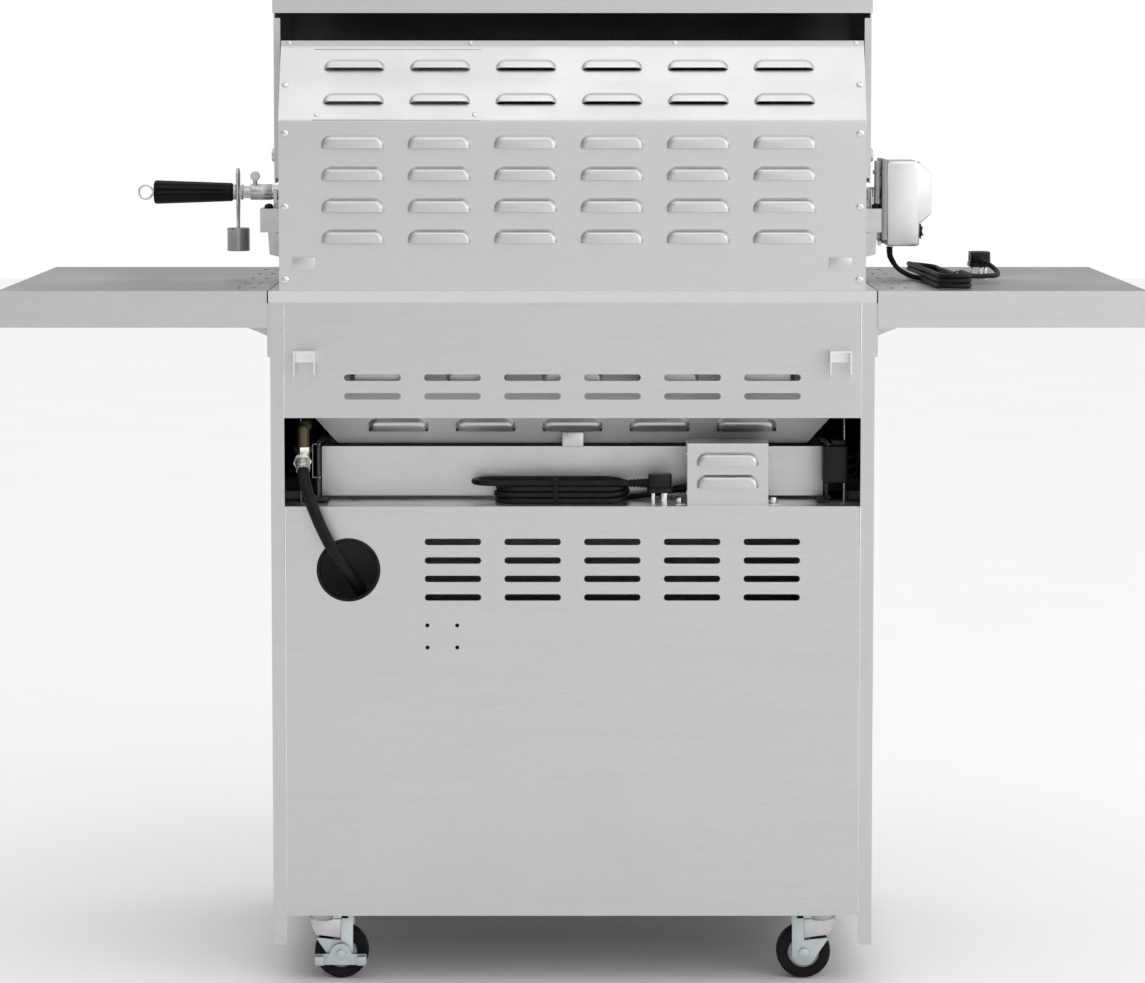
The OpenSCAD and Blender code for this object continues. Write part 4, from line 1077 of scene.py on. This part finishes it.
def add_igniter():
    """Moulded spark module with its leads, beside the tray on the motor's side."""
    bm = bmesh.new()
    block(bm, (-325, 205, 600), (-296, 238, 644), 2.2, 3)
    block(bm, (-323, 207.5, 644), (-306, 233, 650), 1.2)
    for z in (607, 618, 629):
        lathe(bm, [(3, 0), (3, 6), (2.2, 7.2)], place((-325, 222, z), (-1, 0, 0)), 20)
    finish_piece("igniter_module", bm, "plastic")
    bm = bmesh.new()
    for z, reach in ((607, 6), (618, 10), (629, 14)):
        sweep(bm, resample([Vector((-331, 222, z)), Vector((-335 - reach / 3, 221, z + 4)),
                            Vector((-340, 214, z + 20)), Vector((-340, 195, z + 32)),
                            Vector((-333, 165, z + 36)), Vector((-327, 130, z + 37))], 3),
              lambda s: 1.4, 10)
    finish_piece("igniter_leads", bm, "cord")


def add_gas_nut():
    bm = bmesh.new()
    along = place((318, 244, 626), Y_AXIS)
    prism(bm, polygon_ring(6, 11.2, 0.1), 0, 9.8, along, 0.7)
    lathe(bm, [(8.5, 9.8), (8.5, 12), (7, 12.8)], along, 32)
    upright = place((318, 244, 0), Z_AXIS)
    lathe(bm, [(7, 616), (8.8, 616.8), (9, 620), (9, 632), (8.4, 633.2),
               (8.4, 637), (7.5, 637.2)], upright, 40)
    prism(bm, polygon_ring(6, 10.8, 0.3), 637.2, 644, upright, 0.6)
    finish_piece("gas_elbow_nuts", bm, "nut", stands_for=("gas_elbow",))


def add_grommet():
    bm = bmesh.new()
    hole = place((263, 272, 501.4), Y_AXIS)
    ring_lathe(bm, [(33.4, -6), (37.8, -6), (37.8, -1.4), (35.2, -1.3), (35.2, 0.1),
                    (37.2, 0.1), (37.4, 1.2), (36.6, 2.4), (35, 3), (34, 2.8),
                    (33.3, 1.4)], hole, 96)
    finish_piece("hose_grommet_ring", bm, "rubber", stands_for=("hose_grommet",))


# ---- Casters ----

AXLE = (-20, 0, 32.5)  # place of the axle in a caster's frame


def caster_matrix(side, y):
    """Local X away from the middle of the oven, Y to the rear, Z up, about the swivel axis."""
    matrix = Matrix.Diagonal((side, 1, 1, 1))
    matrix.translation = (side * 297, y, 0)
    return matrix


def add_fork(name, side, y):
    """Stamped fork: two side plates with a notch, and the cone of the swivel between them."""
    at = caster_matrix(side, y)
    bm = bmesh.new()
    notch = [(11, 51.7), (-20.2, 47.2)]
    foot = [(-20 + 14.5 * math.cos(a), 31.5 + 14.5 * math.sin(a))
            for a in (math.radians(-12 - 156 * k / 14) for k in range(15))]
    plate = [(-20.2, 78)] + notch[::-1] + foot + [(-34.5, 78)]
    for near in (-16.5, 14):
        prism(bm, plate, near, near + 2.5, at @ UPRIGHT, 0.5)
    prism(bm, round_outline(52, 33, 6), 74.5, 78, at @ place((-8.5, 0, 0)), 1)
    lathe(bm, [(11, 71.5), (16.5, 71.5), (19.7, 75), (20.5, 78.5), (22.2, 80.5),
               (22.2, 83.5), (20.5, 85), (13, 86.2)], at, 48)
    axle = at @ place(AXLE, Y_AXIS)
    lathe(bm, [(4, -18), (4, 18)], axle, 24)
    for outer in (-19.6, 16.8):
        prism(bm, polygon_ring(6, 6.8, 0.2), outer, outer + 2.8, axle, 0.5)
    finish_piece(name + "_frame", bm, "zinc", body=name, stands_for=(name,))
    bm = bmesh.new()
    lathe(bm, [(9.5, 64), (10.5, 65), (10.5, 74), (8.5, 74.8)], at, 40)
    for near in (-14.1, 12.5):
        prism(bm, [(-20.2, 50), (10.5, 54), (18.5, 73), (-20.2, 73)], near, near + 1.6, at @ UPRIGHT, 0.5)
    finish_piece(name + "_race", bm, "satin", body=name)


def add_wheel(name, side, y):
    axle = caster_matrix(side, y) @ place(AXLE, Y_AXIS)
    bm = bmesh.new()
    ring_lathe(bm, [(18.8, -9.8), (21.5, -11.2), (28.5, -11.8), (31.2, -10.4), (32.2, -7),
                    (32.5, 0), (32.2, 7), (31.2, 10.4), (28.5, 11.8), (21.5, 11.2),
                    (18.8, 9.8)], axle, 80)
    finish_piece(name + "_tyre", bm, "tyre", body=name, stands_for=(name,))
    bm = bmesh.new()
    ring_lathe(bm, [(4.2, -12), (8.5, -12), (9.2, -10), (13, -7.8), (17.2, -8.2),
                    (18.8, -10), (18.8, 10), (17.2, 8.2), (13, 7.8), (9.2, 10),
                    (8.5, 12), (4.2, 12)], axle, 64)
    for k in range(6):
        spoke = spun(axle, k * math.pi / 3)
        for z in (-9.6, 7.6):
            block(bm, (8.5, -0.9, z), (18, 0.9, z + 2), 0.4, matrix=spoke)
    finish_piece(name + "_hub", bm, "hub", body=name)


def add_brake(name, side, y, out):
    """Lever with two foot pads on the axle's end; out is the side of the wheel it stands at."""
    at = caster_matrix(side, y) @ place(AXLE)
    low = 20 if out > 0 else -23
    bm = bmesh.new()
    face = at @ UPRIGHT
    lever = hull_outline([(x, z, 3) for x in (-27.7, 27.7) for z in (-10, -3)])
    prism(bm, lever, -low - 3, -low, face, 0.7)
    prism(bm, hull_outline([(0, 0, 12.5), (-10, -6.5, 5.5), (10, -6.5, 5.5)]),
          -low - 3.1, -low + 0.1, face, 0.7)
    reach = low + 3 if out > 0 else low - 9
    for x in (-25, 25):
        pad = [(px + x, 6.5 - pz) for px, pz in round_outline(11, 11, 1.8, 4)]
        prism(bm, pad, reach, reach + 9, face @ Matrix.Rotation(math.pi, 4, "X"), 0.6)
    tip = low + 3 if out > 0 else low - 3.4
    prism(bm, polygon_ring(6, 6.2, 0.3), tip, tip + 3.4, at @ place((0, 0, 0), Y_AXIS), 0.5)
    finish_piece(name + "_pedal", bm, "zinc", body=name, stands_for=(name,))


def add_casters():
    for row, y in (("rear", 207), ("front", -163)):
        for hand, side in (("left", -1), ("right", 1)):
            add_fork("fork_%s_%s" % (row, hand), side, y)
            add_wheel("wheel_%s_%s" % (row, hand), side, y)
    add_brake("brake_rear_right", 1, 207, 1)
    add_brake("brake_front_left", -1, -163, -1)


# ---- Front and lid ----

KNOBS = (("knob_1", -255), ("knob_2", -85), ("knob_rear", 0), ("knob_3", 85), ("knob_4", 255))
PANEL_FRONT, KNOB_Z = -259.2, 745


def knob_frame(x):
    return frame_matrix((x, PANEL_FRONT, KNOB_Z), X_AXIS, Z_AXIS)


def add_knobs():
    for name, x in KNOBS:
        front = knob_frame(x)
        bm = bmesh.new()
        lathe(bm, [(4.2, 3.6), (24.5, 3.6), (25.8, 4.2), (25.8, 5), (22.2, 6),
                   (21.2, 8.5), (20.8, 25), (20.3, 27.6), (18.8, 28.8), (9, 29.2)],
              front, 96, lambda a, r, h: r * (1 + 0.012 * math.cos(30 * a)) if 8 < h < 27 and r > 20 else r)
        prism(bm, round_outline(8.5, 40, 3.6), 28, 34.8, front, 1.6, 3)
        finish_piece(name + "_body", bm, "satin", body=name, stands_for=(name,))
        bm = bmesh.new()
        prism(bm, round_outline(1.6, 9, 0.7), 34.8, 35.1, front @ Matrix.Translation((0, 13.5, 0)))
        finish_piece(name + "_pointer", bm, "dial_mark", body=name)
    bm = bmesh.new()
    for _, x in KNOBS:
        front = knob_frame(x)
        ring_lathe(bm, [(26.8, 0), (26.8, 2.2), (27.6, 3.1), (28.6, 3.2), (29.2, 2.2),
                        (29.2, 0)], front, 96)
        for k in range(13):
            mark = spun(front, math.radians(-200 + 200 * k / 12)) @ Matrix.Translation((0, 34.5, 0))
            size = 3 if k % 6 == 0 else 1.8
            block(bm, (-0.5, -size / 2, -0.2), (0.5, size / 2, 0.2), 0, matrix=mark)
    finish_piece("knob_bezels", bm, "bright")


def add_lid_handle():
    bm = bmesh.new()
    bar = frame_matrix((0, -289, 900), Y_AXIS, Z_AXIS)
    profile = [(6, -300), (9.5, -299.8), (10.8, -298.5)]
    profile += [(11, -290 + 580 * k / 20) for k in range(21)]
    profile += [(10.8, 298.5), (9.5, 299.8), (6, 300)]
    lathe(bm, profile, bar, 48)
    for x in (-270, 270):
        post = place((x, -238.5, 900), (0, -1, 0))
        lathe(bm, [(12.5, 0), (12.8, 1.5), (12.2, 3), (8.5, 5), (8, 9), (8, 48)], post, 40)
    finish_piece("lid_handle_bar", bm, "satin", body="lid", stands_for=("lid_handle",))
    bm = bmesh.new()
    for x in (-290.5, 290.5):
        ring_lathe(bm, [(10.4, x - 6), (11.3, x - 5.5), (11.3, x + 5.5), (10.4, x + 6)], bar, 48)
    finish_piece("lid_handle_rings", bm, "bright", body="lid")


def add_thermometer():
    face = frame_matrix((0, -238.2, 975), X_AXIS, Z_AXIS)
    bm = bmesh.new()
    ring_lathe(bm, [(24.5, 7.5), (25, 9.2), (26.2, 9.8), (28, 9.2), (28.9, 7),
                    (29, 1), (28.4, 0.3), (24.5, 0.3)], face, 96)
    lathe(bm, [(4, -25.2), (4, 1), (25, 1.2), (25, 1.6)], face, 64)
    finish_piece("thermometer_case", bm, "bright", body="lid", stands_for=("thermometer",))
    bm = bmesh.new()
    lathe(bm, [(10, 1.6), (24.6, 1.6), (24.6, 2.4), (10, 2.4)], face, 64)
    finish_piece("thermometer_face", bm, "dial", body="lid")
    bm = bmesh.new()
    for k in range(31):
        tick = spun(face, math.radians(140 - 280 * k / 30))
        inner = 18.5 if k % 5 == 0 else 20.5
        block(bm, (-0.35, inner, 2.4), (0.35, 22.5, 2.6), 0, matrix=tick)
    needle = spun(face, math.radians(138))
    prism(bm, [(-1, -5), (1, -5), (0.3, 18), (-0.3, 18)], 3, 3.5, needle)
    lathe(bm, [(2.2, 2.4), (2.2, 4), (1.6, 4.4)], face, 24)
    finish_piece("thermometer_marks", bm, "dial_mark", body="lid")
    bm = bmesh.new()
    lathe(bm, [(25, 6.2), (25, 7.4), (18, 8.4), (9, 9), (2, 9.2)], face, 64)
    finish_piece("thermometer_glass", bm, "glass", body="lid")


def add_regulator():
    """Bottle regulator with its domed cover, outlet and hex nut, on the cupboard floor."""
    bm = bmesh.new()
    upright = place((178, 40, 90.3), Z_AXIS)
    lathe(bm, [(20, 0), (26.2, 0.8), (27.6, 3), (28, 8), (28, 11),
               (26.8, 12.5), (26.8, 14.5), (26.2, 19), (22.5, 22.5), (16.5, 24),
               (16, 28.5), (14, 29.8)], upright, 64)
    along = place((184, 60, 98), Y_AXIS)
    lathe(bm, [(7.5, -10), (7.5, 11), (6.6, 14)], along, 32)
    inlet = place((172, 20, 101), (0, -1, 0))
    lathe(bm, [(9.5, -4), (9.5, 6), (10, 7), (10, 38)], inlet, 40)
    prism(bm, polygon_ring(6, 10, 0.5), 10, 24, inlet, 0.7)
    finish_piece("gas_regulator_body", bm, "zinc", stands_for=("gas_regulator",))


def add_burner_face():
    """Perforated ceramic tiles in the rear burner, behind the spit."""
    bm = bmesh.new()
    for k in range(8):
        x = -281.5 + 70.4 * k
        block(bm, (x, 216, 914.5), (x + 69.5, 222.2, 995.5), 1)
        for i in range(9):
            for j in range(10):
                hole = frame_matrix((x + 6.2 + 7.1 * i, 216.1, 919 + 8 * j), X_AXIS, Z_AXIS)
                ring_lathe(bm, [(1.6, 0), (2.4, 0.8), (3.1, 0)], hole, 8)
    finish_piece("rear_burner_tiles", bm, "ceramic")


# ---- Build ----

LOOKS = make_materials()
add_camera()
add_world()
add_floor()
add_area("overhead", (-0.4, 2.5, 4.6), (0, 0.2, 1.0), (3.0, 2.2), 13)
add_area("side", (-3.4, 3.0, 2.0), (0, 0.2, 0.6), (2.0, 2.0), 16)
bpy.context.scene.view_settings.view_transform = "Standard"
paint_nodes()
add_mains_lead()
add_motor_lead()
add_regulator()
add_gas_hose()
add_hood_back()
add_hood_screws()
add_hood_marks()
add_seam_highlights()
add_motor()
add_motor_switch()
add_spit_handle()
add_spit_collars()
add_counterweight()
add_bracket_parts()
add_transformer_box()
add_window_parts()
add_gas_nut()
add_grommet()
add_casters()
add_knobs()
add_lid_handle()
add_thermometer()
add_burner_face()
